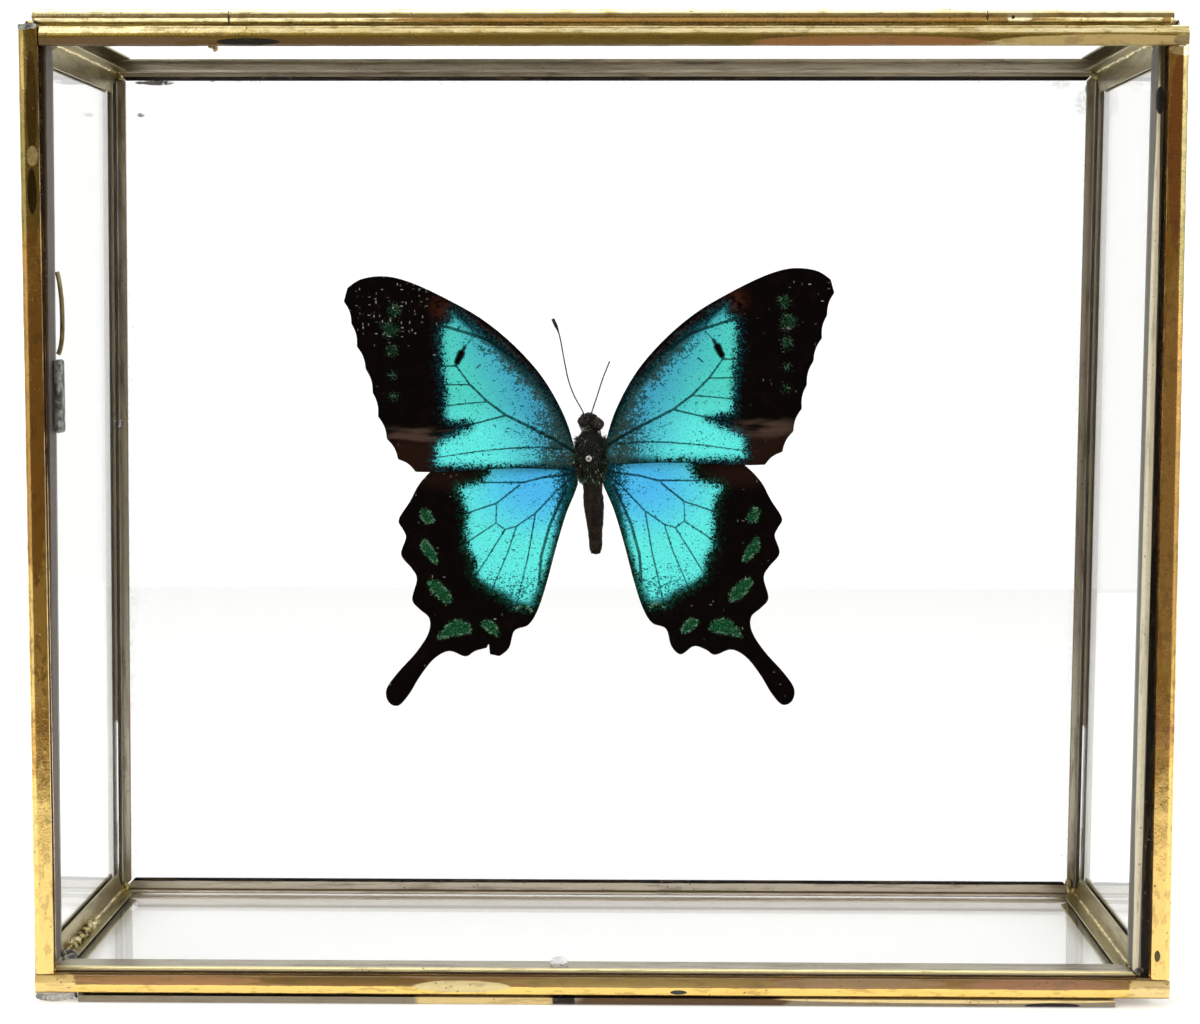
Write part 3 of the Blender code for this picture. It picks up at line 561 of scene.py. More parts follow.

# %% [markdown]
# Each came in the photograph has streaks that go its whole length: a dark line beside the glass, a
# pale line along an edge, a dark flank. The pale lines are painted highlights on rounded edges, and
# the dark flanks and the dark bands on the front rims are painted shade. A reach of EVERYWHERE
# turns a patch into such a line.

# %% Finishes of the single cames and of the base strip
case_finishes = {
    "came_back_bottom": brass_finish(
        "back_bottom_brass", (0.62, 0.55, 0.45), (0.5, 0.44, 0.36), GREY, 0.4, 0.36, (
            ((0.0, 33.0, 7.4), (EVERYWHERE, 9.0, 0.8), SOOT, 0.2),
            ((0.0, 30.2, 4.9), (EVERYWHERE, 0.4, 0.4), BROWN, 0.3),
        ), ALONG_X),
    "came_back_top": brass_finish(
        "back_top_brass", (0.64, 0.59, 0.49), (0.44, 0.39, 0.32), TAUPE, 0.42, 0.36, (
            ((0.0, 33.0, 167.6), (EVERYWHERE, 9.0, 0.45), SOOT, 0.3),
        ), ALONG_X),
    "came_front_bottom": brass_finish(
        "rim_bottom_brass", (0.5, 0.46, 0.37), (0.4, 0.36, 0.28), TAUPE, 0.4, 0.34, (
            # painted shade on the rim's front face, low in the gap behind the lid, then a painted
            # highlight along the rim's top edge
            ((0.0, -30.1, 4.1), (EVERYWHERE, 0.6, 0.85), (0.05, 0.03, 0.018), 0.5),
            ((0.0, -30.0, 5.45), (EVERYWHERE, 0.8, 0.45), PALE_GOLD, 0.1),
        ), ALONG_X),
    "came_front_left": brass_finish(
        "rim_left_brass", (0.2, 0.175, 0.14), (0.15, 0.125, 0.1), BROWN, 0.4, 0.36, (
            # painted shade on the rim's front face, in the gap behind the lid bar
            ((-97.0, -30.1, 87.0), (1.6, 2.0, EVERYWHERE), (0.06, 0.038, 0.025), 0.1),
            ((-95.5, -27.8, 87.0), (3.0, 2.0, EVERYWHERE), (0.12, 0.1, 0.09), 0.85),
        ), ALONG_Z, True),
    "came_front_right": brass_finish(
        "rim_right_brass", TAUPE, (0.17, 0.15, 0.11), BROWN, 0.4, 0.34, (
            # the first patch is painted shade on the outer half of the rim's front face; the third
            # is a painted highlight on its inner half
            ((97.9, -30.1, 87.0), (1.1, 2.0, EVERYWHERE), SOOT, 0.1),
            ((95.5, -27.8, 87.0), (3.0, 2.0, EVERYWHERE), (0.14, 0.13, 0.11), 0.85),
            ((96.0, -30.1, 74.0), (0.72, 2.0, 90.0), (0.8, 0.72, 0.52), 0.75),
            ((96.2, -30.1, 158.0), (0.8, 2.0, 2.4), SOOT, 0.5),
        ), ALONG_Z, True),
    "came_front_top": brass_finish(
        "rim_top_brass", KHAKI, TAUPE, BROWN, 0.5, 0.34, (), ALONG_X),
    "base_strip_front": brass_finish(
        "base_brass", TAUPE, (0.18, 0.15, 0.1), BROWN, 0.4, 0.34, (
            ((-20.0, -33.0, 0.7), (12.2, 9.0, 3.0), (0.66, 0.5, 0.22), 0.3),
            ((-6.0, -33.0, 0.7), (2.0, 9.0, 3.0), SOOT, 0.4),
            ((15.0, -33.0, 0.4), (19.0, 9.0, 3.0), (0.1, 0.06, 0.03), 0.2),
            ((63.0, -33.0, 1.1), (31.0, 9.0, 0.6), (0.76, 0.6, 0.28), 0.3),
            # painted shadow along the foot of the strip, where it stands on the floor
            ((80.0, -33.0, 0.2), (5.0, 9.0, 0.5), SOOT, 0.5),
        ), ALONG_X),
}
back_upright = brass_finish(
    "back_upright_brass", (0.52, 0.48, 0.39), (0.38, 0.34, 0.27), TAUPE, 0.4, 0.34, (
        # painted shade on the side flange of the upright
        ((0.0, 26.5, 87.0), (EVERYWHERE, 3.7, EVERYWHERE), SOOT, 0.5),
        ((-94.7, 31.0, 87.0), (0.16, 2.0, EVERYWHERE), BROWN, 0.3),
        ((94.7, 31.0, 87.0), (0.16, 2.0, EVERYWHERE), BROWN, 0.3),
    ), ALONG_Z, True)
case_finishes["came_back_left"] = case_finishes["came_back_right"] = back_upright
print("case finishes:", len(case_finishes))

# %% [markdown]
# The case's own edging is plain strip, so the CAD solids serve as they are and only need their
# finish. A Weld modifier joins the faces, which come apart at their borders, and a narrow Bevel
# rounds the edges as wear does. Modelling the strips again would gain nothing.

# %% Brass that keeps its CAD shape
EDGE_WEAR = 0.12 * MM
WELD_WITHIN = 0.005 * MM
SHARP_ANGLE = math.radians(40)


def soften(obj):
    """Rounds the sharp edges of a CAD solid, whose faces come apart at their borders."""
    weld = obj.modifiers.new("weld", "WELD")
    weld.merge_threshold = WELD_WITHIN
    bevel = obj.modifiers.new("worn_edges", "BEVEL")
    bevel.width = EDGE_WEAR
    bevel.segments = 2
    bevel.limit_method = "ANGLE"
    bevel.angle_limit = SHARP_ANGLE


for name in nodes:
    if name.startswith("came_"):
        dress(name, case_finishes.get(name, DEPTH_BRASS))
        soften(nodes[name])
dress("base_strip_front", case_finishes["base_strip_front"])
dress("catch_wire", WIRE_BRASS)
dress("hinge_wire", WIRE_BRASS)
dress("catch_solder", SOLDER)
print("case edging dressed")

# %% [markdown]
# ## Wings
#
# A wing is one thin sheet. A picture could carry its pattern, but this part uses none: the blue
# field, the veins and the green crescents are outlines in millimetres from the thorax. The mesh is
# fine enough, a point every quarter of a millimetre, to store at each point how far it is inside
# each outline. A distance blends well between points, so the shader can turn it into a sharp or a
# dusty edge as it likes.

# %% Curves and distances
def smooth_curve(points, steps, closed=False):
    """Catmull-Rom points through the given ones."""
    given = np.array(points, float)
    count = len(given)
    result = []
    for i in range(count if closed else count - 1):
        if closed:
            p0, p1, p2, p3 = (given[(i + k) % count] for k in (-1, 0, 1, 2))
        else:
            p0, p1, p2, p3 = (given[min(max(i + k, 0), count - 1)] for k in (-1, 0, 1, 2))
        for t in np.arange(steps) / steps:
            result.append(0.5 * (
                2 * p1 + (p2 - p0) * t + (2 * p0 - 5 * p1 + 4 * p2 - p3) * t ** 2
                + (3 * p1 - p0 - 3 * p2 + p3) * t ** 3
            ))
    if not closed:
        result.append(given[-1])
    return np.array(result)


def inside(points, outline):
    x, y = points.T
    result = np.zeros(len(points), bool)
    for (ax, ay), (bx, by) in zip(outline, np.roll(outline, -1, axis=0)):
        if ay != by:
            crosses = (ay > y) != (by > y)
            result ^= crosses & (x < ax + (y - ay) * (bx - ax) / (by - ay))
    return result


def line_field(points, line, start=0.0, end=0.0):
    """How far each point is inside a line whose half width runs from start to end."""
    line = np.asarray(line, float)
    lengths = np.linalg.norm(np.diff(line, axis=0), axis=1)
    gone = np.concatenate(([0.0], np.cumsum(lengths))) / max(lengths.sum(), 1e-9)
    best = np.full(len(points), -1e9)
    for i in range(len(line) - 1):
        along = line[i + 1] - line[i]
        share = np.clip((points - line[i]) @ along / max(along @ along, 1e-12), 0, 1)
        away = np.linalg.norm(points - line[i] - share[:, None] * along, axis=1)
        half = start + (end - start) * (gone[i] + (gone[i + 1] - gone[i]) * share)
        best = np.maximum(best, half - away)
    return best


def area_field(points, outline):
    """Millimetres inside an outline, and less than 0 outside it."""
    away = -line_field(points, np.vstack((outline, outline[:1])))
    return np.where(inside(points, outline), away, -away)


square = ((0, 0), (2, 0), (2, 2), (0, 2))
print("middle of a square of 2 mm:", area_field(np.array([(1, 1)]), np.array(square))[0], "mm in")

# %% [markdown]
# The forewing's front edge is a smooth curve, and its margin sags a little between the tips of the
# veins. The hindwing is one closed curve with a tail. The left one has lost a splinter beside it.

# %% Wing outlines
THORAX = Vector((-2.0, 0.0, 94.4)) * MM
FOREWING_COSTA = (
    (2.95, 0.8), (3.0, 3.6), (4.8, 9.4), (8.5, 16.2), (13.4, 22.0), (19.2, 27.0),
    (25.3, 30.7), (32.0, 34.0), (37.0, 35.4), (41.5, 35.0), (44.2, 33.4),
)
FOREWING_VEIN_TIPS = (
    (44.9, 30.9), (43.6, 26.8), (42.7, 22.6), (41.2, 18.4), (40.0, 14.0), (39.1, 9.6),
    (37.6, 5.4), (35.6, 1.6), (32.4, -0.8),
)
FOREWING_HIND_EDGE = (
    (32.4, -0.8), (28.5, -0.9), (22.0, -0.7), (14.0, -0.5), (7.0, -0.8), (3.3, -1.0),
)
FOREWING_SCALLOP = 0.4
SCALLOP_STEPS = 8
HINDWING_OUTLINE = (
    (2.7, -0.4), (8.0, 0.4), (14.0, 1.4), (21.0, 1.8), (26.0, 0.6), (29.0, -1.2),
    (31.8, -4.1), (33.6, -7.4), (35.7, -10.8), (35.0, -12.6), (34.4, -14.2), (35.3, -17.4),
    (33.4, -19.9), (32.4, -22.0), (33.3, -25.8), (32.0, -27.6), (30.1, -29.4), (30.3, -32.2),
    (32.6, -35.8), (36.2, -39.8), (38.2, -42.8), (37.8, -45.2), (36.0, -45.9), (34.0, -43.8),
    (31.8, -40.2), (29.2, -37.0), (26.4, -35.6), (23.4, -36.6), (21.6, -35.6), (19.4, -35.0),
    (17.0, -36.6), (15.2, -35.0), (14.2, -31.8), (11.6, -30.7), (9.8, -27.8), (8.1, -22.6),
    (6.3, -15.8), (4.5, -9.8), (3.1, -6.4), (2.3, -4.2),
)
TORN_AFTER = 29
TORN_POINTS = ((19.0, -34.2), (18.8, -36.2))


def forewing_outline():
    margin = []
    for start, end in zip(np.array(FOREWING_VEIN_TIPS), np.array(FOREWING_VEIN_TIPS)[1:]):
        along = end - start
        inward = np.array((along[1], -along[0])) / np.linalg.norm(along)
        for t in np.arange(SCALLOP_STEPS) / SCALLOP_STEPS:
            margin.append(start + along * t + inward * FOREWING_SCALLOP * math.sin(math.pi * t))
    parts = (smooth_curve(FOREWING_COSTA, 8), margin, smooth_curve(FOREWING_HIND_EDGE, 6)[:-1])
    return np.vstack(parts)


def hindwing_outline(torn):
    if not torn:
        return smooth_curve(HINDWING_OUTLINE, 6, closed=True)
    before = smooth_curve(HINDWING_OUTLINE[:TORN_AFTER + 1], 6)
    after = smooth_curve(HINDWING_OUTLINE[TORN_AFTER + 1:], 6)
    return np.vstack((before, TORN_POINTS, after))


print("outlines:", len(forewing_outline()), "and", len(hindwing_outline(True)), "points")

# %% [markdown]
# The pattern is read off the photograph once, as outlines a person could draw: the blue field, the
# lines of the veins with their widths, and the crescents. Both sides share it, mirrored.

# %% Forewing pattern, in millimetres out from the thorax and up
FOREWING_BLUE = (
    (3.9, 5.3), (6.0, 9.9), (9.0, 14.4), (12.9, 18.6), (14.6, 20.4), (17.3, 22.9), (20.1, 25.0),
    (23.2, 27.6), (25.2, 28.8), (25.4, 27.2), (26.8, 26.3), (27.4, 23.5), (27.2, 19.5),
    (27.1, 16.8), (26.7, 13.5), (26.7, 9.0), (24.6, 8.2), (21.8, 7.85), (24.5, 6.4), (27.4, 5.2),
    (28.7, 4.2), (28.8, 2.4), (28.3, 0.2), (20.0, -0.2), (12.0, -0.2), (3.0, -0.6), (2.6, 3.0),
)
FOREWING_VEINS = (
    (((24.4, 18.6), (22.0, 15.2), (18.8, 12.0), (15.4, 9.4), (10.4, 6.8), (6.0, 4.4),
      (2.6, 2.2)), 0.17, 0.42),
    (((27.0, 26.1), (25.6, 25.8), (21.0, 24.3), (18.5, 23.4), (12.0, 18.9), (6.5, 12.2),
      (3.4, 5.2)), 0.3, 0.5),
    (((24.2, 28.5), (21.9, 26.1), (21.0, 24.4)), 0.16, 0.14),
    (((21.3, 23.8), (22.8, 22.2)), 0.12, 0.12),
    (((24.4, 18.7), (27.4, 18.7), (33.0, 19.2), (41.2, 18.6)), 0.17, 0.1),
    (((22.0, 15.2), (27.2, 15.3), (33.0, 14.9), (40.0, 14.1)), 0.16, 0.1),
    (((18.8, 12.0), (23.0, 11.7), (27.0, 11.3), (33.0, 10.4), (39.0, 9.7)), 0.16, 0.1),
    (((15.4, 9.4), (21.8, 7.85), (28.0, 6.6), (37.4, 5.4)), 0.2, 0.12),
    (((12.9, 6.0), (15.4, 7.1)), 0.12, 0.05),
    (((5.0, 2.9), (9.0, 3.4), (14.6, 3.3), (21.3, 2.75), (28.4, 1.8), (35.4, 1.5)), 0.2, 0.1),
    (((20.0, 18.9), (20.8, 18.2)), 0.16, 0.16),
    (((13.0, 14.3), (13.6, 13.8)), 0.14, 0.14),
    (((21.6, 2.6), (22.1, 2.6)), 0.2, 0.2),
)
CELL_SPOT = ((22.8, 22.2), (23.5, 21.0), (24.3, 19.4), (24.5, 18.8))
FOREWING_DUST = (
    ((35.7, 29.2), 1.1), ((36.5, 25.6), 1.4), ((36.3, 21.8), 1.0), ((36.1, 17.3), 0.6),
    ((36.1, 13.3), 0.6),
)
print("forewing:", len(FOREWING_VEINS), "lines and", len(FOREWING_DUST), "green spots")

# %% Hindwing pattern, in the same measure
HINDWING_BLUE = (
    (2.6, 0.4), (10.0, 1.2), (18.2, 0.6), (19.2, -1.6), (20.5, -3.6), (24.6, -4.65),
    (23.9, -7.1), (23.3, -9.4), (23.4, -13.0), (23.0, -16.4), (21.8, -18.8), (21.6, -21.4),
    (19.4, -23.6), (16.6, -25.2), (14.2, -27.0), (10.9, -27.4), (9.2, -24.4), (8.1, -20.8),
    (6.7, -16.4), (5.0, -10.8), (3.5, -6.8), (2.6, -4.4),
)
HINDWING_VEINS = (
    (((3.0, -2.3), (9.0, -3.0), (12.6, -3.9), (20.5, -3.9)), 0.3, 0.16),
    (((13.2, -4.4), (17.5, -7.8), (23.8, -9.9), (34.6, -13.6)), 0.2, 0.12),
    (((17.5, -7.8), (17.6, -11.5), (15.9, -12.7), (13.8, -12.1), (10.2, -9.6), (5.7, -4.9),
      (3.2, -2.8)), 0.13, 0.2),
    (((17.6, -11.5), (23.5, -15.4), (32.6, -21.6)), 0.16, 0.12),
    (((15.9, -12.7), (22.0, -22.4), (30.0, -29.6)), 0.16, 0.12),
    (((13.9, -12.4), (15.4, -17.0), (17.8, -22.6), (22.6, -35.4)), 0.16, 0.12),
    (((10.3, -10.0), (11.6, -17.6), (13.4, -25.2), (15.4, -34.0)), 0.17, 0.12),
    (((4.4, -4.8), (7.6, -12.0), (9.2, -17.8), (9.6, -23.0)), 0.34, 0.3),
)
HINDWING_CRESCENTS = (
    ((31.7, -9.0), (30.3, -8.7), (29.0, -10.5), (29.2, -11.6), (30.9, -11.8), (31.7, -10.5)),
    ((31.7, -15.0), (30.8, -14.2), (29.8, -15.3), (28.7, -16.9), (28.2, -19.0), (29.2, -19.2),
     (30.6, -17.9), (31.7, -16.6)),
    ((30.4, -22.4), (29.2, -21.9), (27.2, -23.2), (25.8, -25.1), (26.0, -26.6), (27.7, -26.4),
     (29.5, -24.8), (30.4, -23.5)),
    ((28.8, -33.4), (27.7, -31.4), (26.1, -29.8), (24.5, -29.5), (22.7, -30.3), (22.0, -31.9),
     (23.5, -32.6), (26.1, -33.0)),
    ((20.6, -30.6), (19.8, -29.6), (18.2, -29.8), (17.0, -31.4), (17.1, -32.9), (18.5, -32.5),
     (19.8, -31.5)),
)
PALE_ARC = ((11.1, -28.1), (11.9, -27.1), (12.8, -26.9), (13.9, -27.8))
print("hindwing:", len(HINDWING_VEINS), "lines and", len(HINDWING_CRESCENTS), "crescents")

# %% [markdown]
# A wing or a bent bar has no primitive to start from, so the pieces made here are meshes from lists
# of points and faces. Two small tools turn the lists into an object and store numbers on it, and a
# third one says which body the piece moves with and hides the CAD solid it stands for.

# %% Small mesh tools
def mesh_object(name, points, faces, finish):
    """A smooth object from points in millimetres."""
    mesh = bpy.data.meshes.new(name)
    mesh.from_pydata(np.asarray(points) * MM, [], faces)
    mesh.validate()
    mesh.shade_smooth()
    mesh.materials.append(finish)
    obj = bpy.data.objects.new(name, mesh)
    scene.collection.objects.link(obj)
    return obj


def store(obj, key, values):
    """Stores a number at each point, or three of them."""
    values = np.asarray(values, np.float32)
    kind, field = ("FLOAT", "value") if values.ndim == 1 else ("FLOAT_VECTOR", "vector")
    layer = obj.data.attributes.new(key, kind, "POINT")
    layer.data.foreach_set(field, values.ravel())


def settle(obj, body, slot, *replaced):
    """Makes the piece ride on its body and hides the CAD solids that it stands for; slot is not
    used.
    """
    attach(obj, body)
    if replaced:
        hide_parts(*replaced)
    return obj


print("mesh tools ready")

# %% [markdown]
# The sheet itself is made by filling the outline with a triangular lattice of points and joining
# them by a constrained Delaunay triangulation, which keeps the outline's own edges. A grid that is
# cut by a boolean would leave slivers along the edge.

# %% Points that fill a wing
SPACING = 0.26


def lattice(outline):
    """Points of a triangular lattice that lie well inside the outline."""
    low, high = outline.min(axis=0), outline.max(axis=0)
    row = SPACING * math.sqrt(0.75)
    points = []
    for j in range(int((high[1] - low[1]) / row) + 1):
        xs = np.arange(low[0] + (j % 2) * SPACING / 2, high[0], SPACING)
        points.append(np.column_stack((xs, np.full(len(xs), low[1] + j * row))))
    points = np.vstack(points)
    return points[area_field(points, outline) > SPACING * 0.45]


def evenly(outline):
    """The outline again, with a point at each lattice spacing."""
    loop = np.vstack((outline, outline[:1]))
    gone = np.concatenate(([0.0], np.cumsum(np.linalg.norm(np.diff(loop, axis=0), axis=1))))
    stops = np.linspace(0, gone[-1], int(gone[-1] / SPACING), endpoint=False)
    return np.column_stack([np.interp(stops, gone, loop[:, i]) for i in (0, 1)])


def triangles_inside(outline):
    """Points and triangles that fill the outline."""
    edge = evenly(outline)
    flat = np.vstack((edge, lattice(outline)))
    rim = [(i, (i + 1) % len(edge)) for i in range(len(edge))]
    result = geometry.delaunay_2d_cdt([Vector(p) for p in flat], rim, [], 1, 1e-6)
    return np.array([tuple(p) for p in result[0]]), [tuple(face) for face in result[2]]


print("points in a square of 2 mm:", len(triangles_inside(np.array(square, float))[0]))

# %% [markdown]
# Both skins are copies of those points. Fan folds, the raised veins and a thinner margin shape
# them, and what the finish needs to know is stored at each point. A Solidify modifier would thicken
# the margin as much as the middle.

# %% Wing sheets
WING_RISE = 0.05
WING_PLEAT = 0.15
PLEAT_ANGLE = 7.5
PLEAT_FULL_AT = 18.0
VEIN_HEIGHT = 0.07
VEIN_FLANK = 0.15
HALF_THICK = 0.15
HALF_THIN = 0.05
THIN_MARGIN = 0.9
FRONT_GRAIN = 3.0
BACK_GRAIN = 9.0


def pleats(points):
    """Height of the fan folds: none at the root and full from mid-wing on."""
    angle = np.degrees(np.arctan2(points[:, 1], points[:, 0]))
    phase = (angle / PLEAT_ANGLE) % 2.0
    reach = np.minimum(1.0, np.hypot(points[:, 0], points[:, 1]) / PLEAT_FULL_AT)
    return WING_PLEAT * reach * (np.abs(phase - 1.0) * 2.0 - 1.0)


def sheet_faces(triangles, count):
    """The front skin, the back skin and the narrow band between their borders."""
    faces = list(triangles)
    faces += [tuple(count + i for i in face[::-1]) for face in triangles]
    edges = {}
    for face in triangles:
        for i in range(3):
            edges[(face[i], face[(i + 1) % 3])] = True
    border = [(a, b) for a, b in edges if (b, a) not in edges]
    return faces + [(b, a, count + a, count + b) for a, b in border]


def wing_sheet(name, outline, fields, side, depth, finish, turn=0.0, drop=0.0):
    """turn is in degrees and drop in millimetres, for a wing that hangs a little."""
    flat, triangles = triangles_inside(outline)
    stored = fields(flat)
    stored["margin"] = area_field(flat, outline)
    thick = np.clip(stored["margin"] / THIN_MARGIN, 0, 1)
    half = HALF_THIN + (HALF_THICK - HALF_THIN) * thick
    raised = VEIN_HEIGHT * np.clip(stored["vein"] / VEIN_FLANK + 1.0, 0, 1)
    middle = depth - WING_RISE * flat[:, 0] - pleats(flat)
    cos, sin = math.cos(math.radians(turn)), math.sin(math.radians(turn))
    x = THORAX.x / MM + side * (flat[:, 0] * cos - flat[:, 1] * sin)
    z = THORAX.z / MM + flat[:, 0] * sin + flat[:, 1] * cos + drop
    front = np.column_stack((x, middle - half - raised, z))
    back = np.column_stack((x, middle + half + raised * 0.5, z))
    count = len(flat)
    ordered = triangles if side > 0 else [face[::-1] for face in triangles]
    obj = mesh_object(name, np.vstack((front, back)), sheet_faces(ordered, count), finish)
    for key, values in stored.items():
        store(obj, key, np.tile(values, 2))
    store(obj, "under", np.repeat((0.0, 1.0), count))
    grain_layer = np.repeat((FRONT_GRAIN * side, BACK_GRAIN), count)
    store(obj, "place", np.column_stack((np.tile(flat, (2, 1)), grain_layer)))
    print(name, len(obj.data.polygons), "faces")
    return obj


# %% What is stored on each wing
VEIN_SLIM = 0.8


def best_line(points, lines):
    slim = ((line, start * VEIN_SLIM, end * VEIN_SLIM) for line, start, end in lines)
    return np.max([line_field(points, *settings) for settings in slim], axis=0)


def best_area(points, outlines):
    smooth = (smooth_curve(outline, 4, closed=True) for outline in outlines)
    return np.max([area_field(points, outline) for outline in smooth], axis=0)


def forewing_fields(points):
    vein = best_line(points, FOREWING_VEINS)
    spot = line_field(points, CELL_SPOT, 0.34, 0.3)
    middle = line_field(points, CELL_SPOT[1:3], 0.75, 0.6)
    dust = np.max([r - np.linalg.norm(points - c, axis=1) for c, r in FOREWING_DUST], axis=0)
    return {
        "vein": np.maximum.reduce((vein, spot, middle)), "green": dust,
        "blue": area_field(points, smooth_curve(FOREWING_BLUE, 3, closed=True)),
    }


def hindwing_fields(points):
    arc_field = line_field(points, PALE_ARC, 0.42, 0.3)
    return {
        "vein": best_line(points, HINDWING_VEINS),
        "green": np.maximum(best_area(points, HINDWING_CRESCENTS), arc_field),
        "blue": area_field(points, smooth_curve(HINDWING_BLUE, 3, closed=True)),
    }


mid_wing = np.array([(18.0, 16.0)])
print("mid-wing:", {key: round(v[0], 2) for key, v in forewing_fields(mid_wing).items()})

# %% [markdown]
# Scales are dust, so no edge of the pattern is clean: each distance is roughened by a grain of a
# third of a millimetre before it becomes a mask. Towards the body the blue darkens and black
# scales show through. The underside, which is seen from behind, is dull brown.

# %% Colours of the wings
TURQUOISE = linear(98, 234, 224)
SEA_GREEN = linear(82, 210, 190)
SKY = linear(78, 186, 240)
STEEL_BLUE = linear(66, 158, 190)
DEEP_TEAL = linear(12, 66, 74)
FOREST = linear(12, 62, 44)
MOSS = linear(62, 68, 36)
VELVET = linear(8, 5, 4)
BROWN_VELVET = linear(34, 19, 12)
RUST = linear(52, 25, 15)
GLOSS = linear(104, 82, 70)
LEAF_GREEN = linear(14, 66, 36)
PALE_GREEN = linear(126, 172, 136)
FLECK = linear(164, 162, 148)
UNDER_BROWN = linear(74, 58, 46)
print("wing colours ready")

# %% Grain of the scales and pale flecks
ANY_SIDE = 99.0
SCALE_SIZE = 0.34
TUFT_SIZE = 0.8
CLOUDING = 3.2
FLECK_SPACING = 0.95


def wing_values(tree):
    """What the parts of the pattern share: a place, the stored distances and three noises."""
    at = tree.attribute("place", "Vector")
    out, up, side = tree.parts(at)
    wing = SimpleNamespace(at=at, out=out, up=up, left=tree.step(side, 0.5, -0.5))
    for key in ("blue", "vein", "green", "margin", "under"):
        setattr(wing, key, tree.attribute(key))
    wing.grain = tree.noise(at, SCALE_SIZE, 2.0, 0.7)
    wing.coarse = tree.noise(at, TUFT_SIZE, 2.0, 0.6)
    wing.cloud = tree.noise(at, CLOUDING, 3.0, 0.6)
    return wing


def flat_near(tree, at, out, up, wide, high, blur=0.6):
    """1 inside an ellipse of the wing's plane, on either side."""
    return tree.near(at, (out, up, 0.0), (wide, high, ANY_SIDE), blur)


def wing_flecks(tree, at, likely):
    """Short pale dashes; likely, from 0 to 1, is how many of the places have one."""
    flecks = 0.0
    for factors in ((0.8, 1.9, 1.0), (1.9, 0.8, 1.0)):
        stretched = tree.scaled(at, factors)
        shape = tree.step(tree.cells(stretched, FLECK_SPACING), 0.3, 0.14)
        chance, bright, _ = tree.parts(tree.cells(stretched, FLECK_SPACING, output="Color"))
        flecks = flecks + shape * tree.step(chance + likely, 0.97, 1.0) * (bright * 0.8 + 0.1)
    return flecks.least(1.0)


print("grain of", (SCALE_SIZE, TUFT_SIZE, CLOUDING), "mm")

# %% [markdown]
# The two kinds of wing differ in how their blue is shaded and in what lies on the black. Each gets
# its own functions, and one finish puts the pattern together in the order in which it covers: the
# black ground, the blue field, the veins, the green and the flecks.


# %% The blue field
def hindwing_blue(tree, wing):
    """The tone, how dark dust shades it, and where black scales lie round the root."""
    sky = flat_near(tree, wing.at, 9.5, -4.5, 9.5, 7.0, 0.75)
    tone = tree.mix(sky, TURQUOISE, SKY)
    shade = tree.step(wing.out + wing.cloud * 4.0, 11.5, 5.0) * 1.2
    shade = shade.most(tree.step(wing.up + wing.cloud * 6.0, -14.0, -24.0) * 0.8)
    fold = tree.step(wing.margin, 2.2, 0.4) * tree.step(wing.out, 16.0, 12.0)
    shade = shade.most(fold * 0.5)
    root = tree.step(wing.out + (wing.cloud + wing.coarse) * 3.0, 12.0, 8.0)
    return tone, shade, root


def forewing_blue(tree, wing):
    """The same three for the forewing, whose front edge is shaded as well."""
    inner = tree.step(wing.out * 0.8 - wing.up * 0.35 + wing.cloud * 4.0, 17.0, 5.0)
    outer = tree.step(wing.up - wing.out * 0.1 + wing.cloud * 4.0, 6.0, 13.0)
    tone = tree.mix(inner, tree.mix(outer, TURQUOISE, SEA_GREEN), STEEL_BLUE)
    costa = wing.up - wing.out * 1.11 + wing.cloud * 5.0
    shade = tree.step(costa, -1.0, 6.0) * 0.85
    shade = shade.most(tree.step(wing.out + wing.cloud * 5.0, 18.0, 7.5) * 1.1)
    root = tree.step(wing.out + (wing.cloud + wing.coarse) * 3.0, 16.0, 8.0)
    root = root.most(tree.step(costa, 2.0, 5.0) * tree.step(wing.out, 24.0, 13.0) * 0.8)
    return tone, shade, root


def dusted(tree, wing, tone, shade, root, root_dust):
    """The tone under its dust: teal grains where it is shaded, and black ones at the root."""
    grain = wing.grain
    dust = (grain - 0.5) * 1.5 + (wing.coarse - 0.5) * 0.8 + (wing.cloud - 0.5) * 0.3
    dust = dust + shade * 0.36 - 0.07
    tone = tree.mix(tree.step(grain, 0.44, 0.6) * 0.3, tone, STEEL_BLUE)
    tone = tree.mix(tree.step(dust, 0.12, 0.24) * 0.85, tone, DEEP_TEAL)
    dark = tree.mix(tree.step(grain, 0.45, 0.58), VELVET, root_dust)
    return tree.mix(root * tree.step(dust, 0.0, 0.24) * 0.85, tone, dark)


print("blue fields ready")


# %% The black ground
def velvet(tree, wing, brown):
    """Black with a breath of brown, and browner where the mask says so."""
    lighter = tree.step(wing.cloud + wing.grain * 0.4, 0.7, 0.95) * 0.2
    ground = tree.mix(lighter, VELVET, BROWN_VELVET)
    return tree.mix(brown * 0.9, ground, BROWN_VELVET)


def hindwing_ground(tree, wing):
    return velvet(tree, wing, flat_near(tree, wing.at, 28.0, -1.6, 6.0, 3.0))


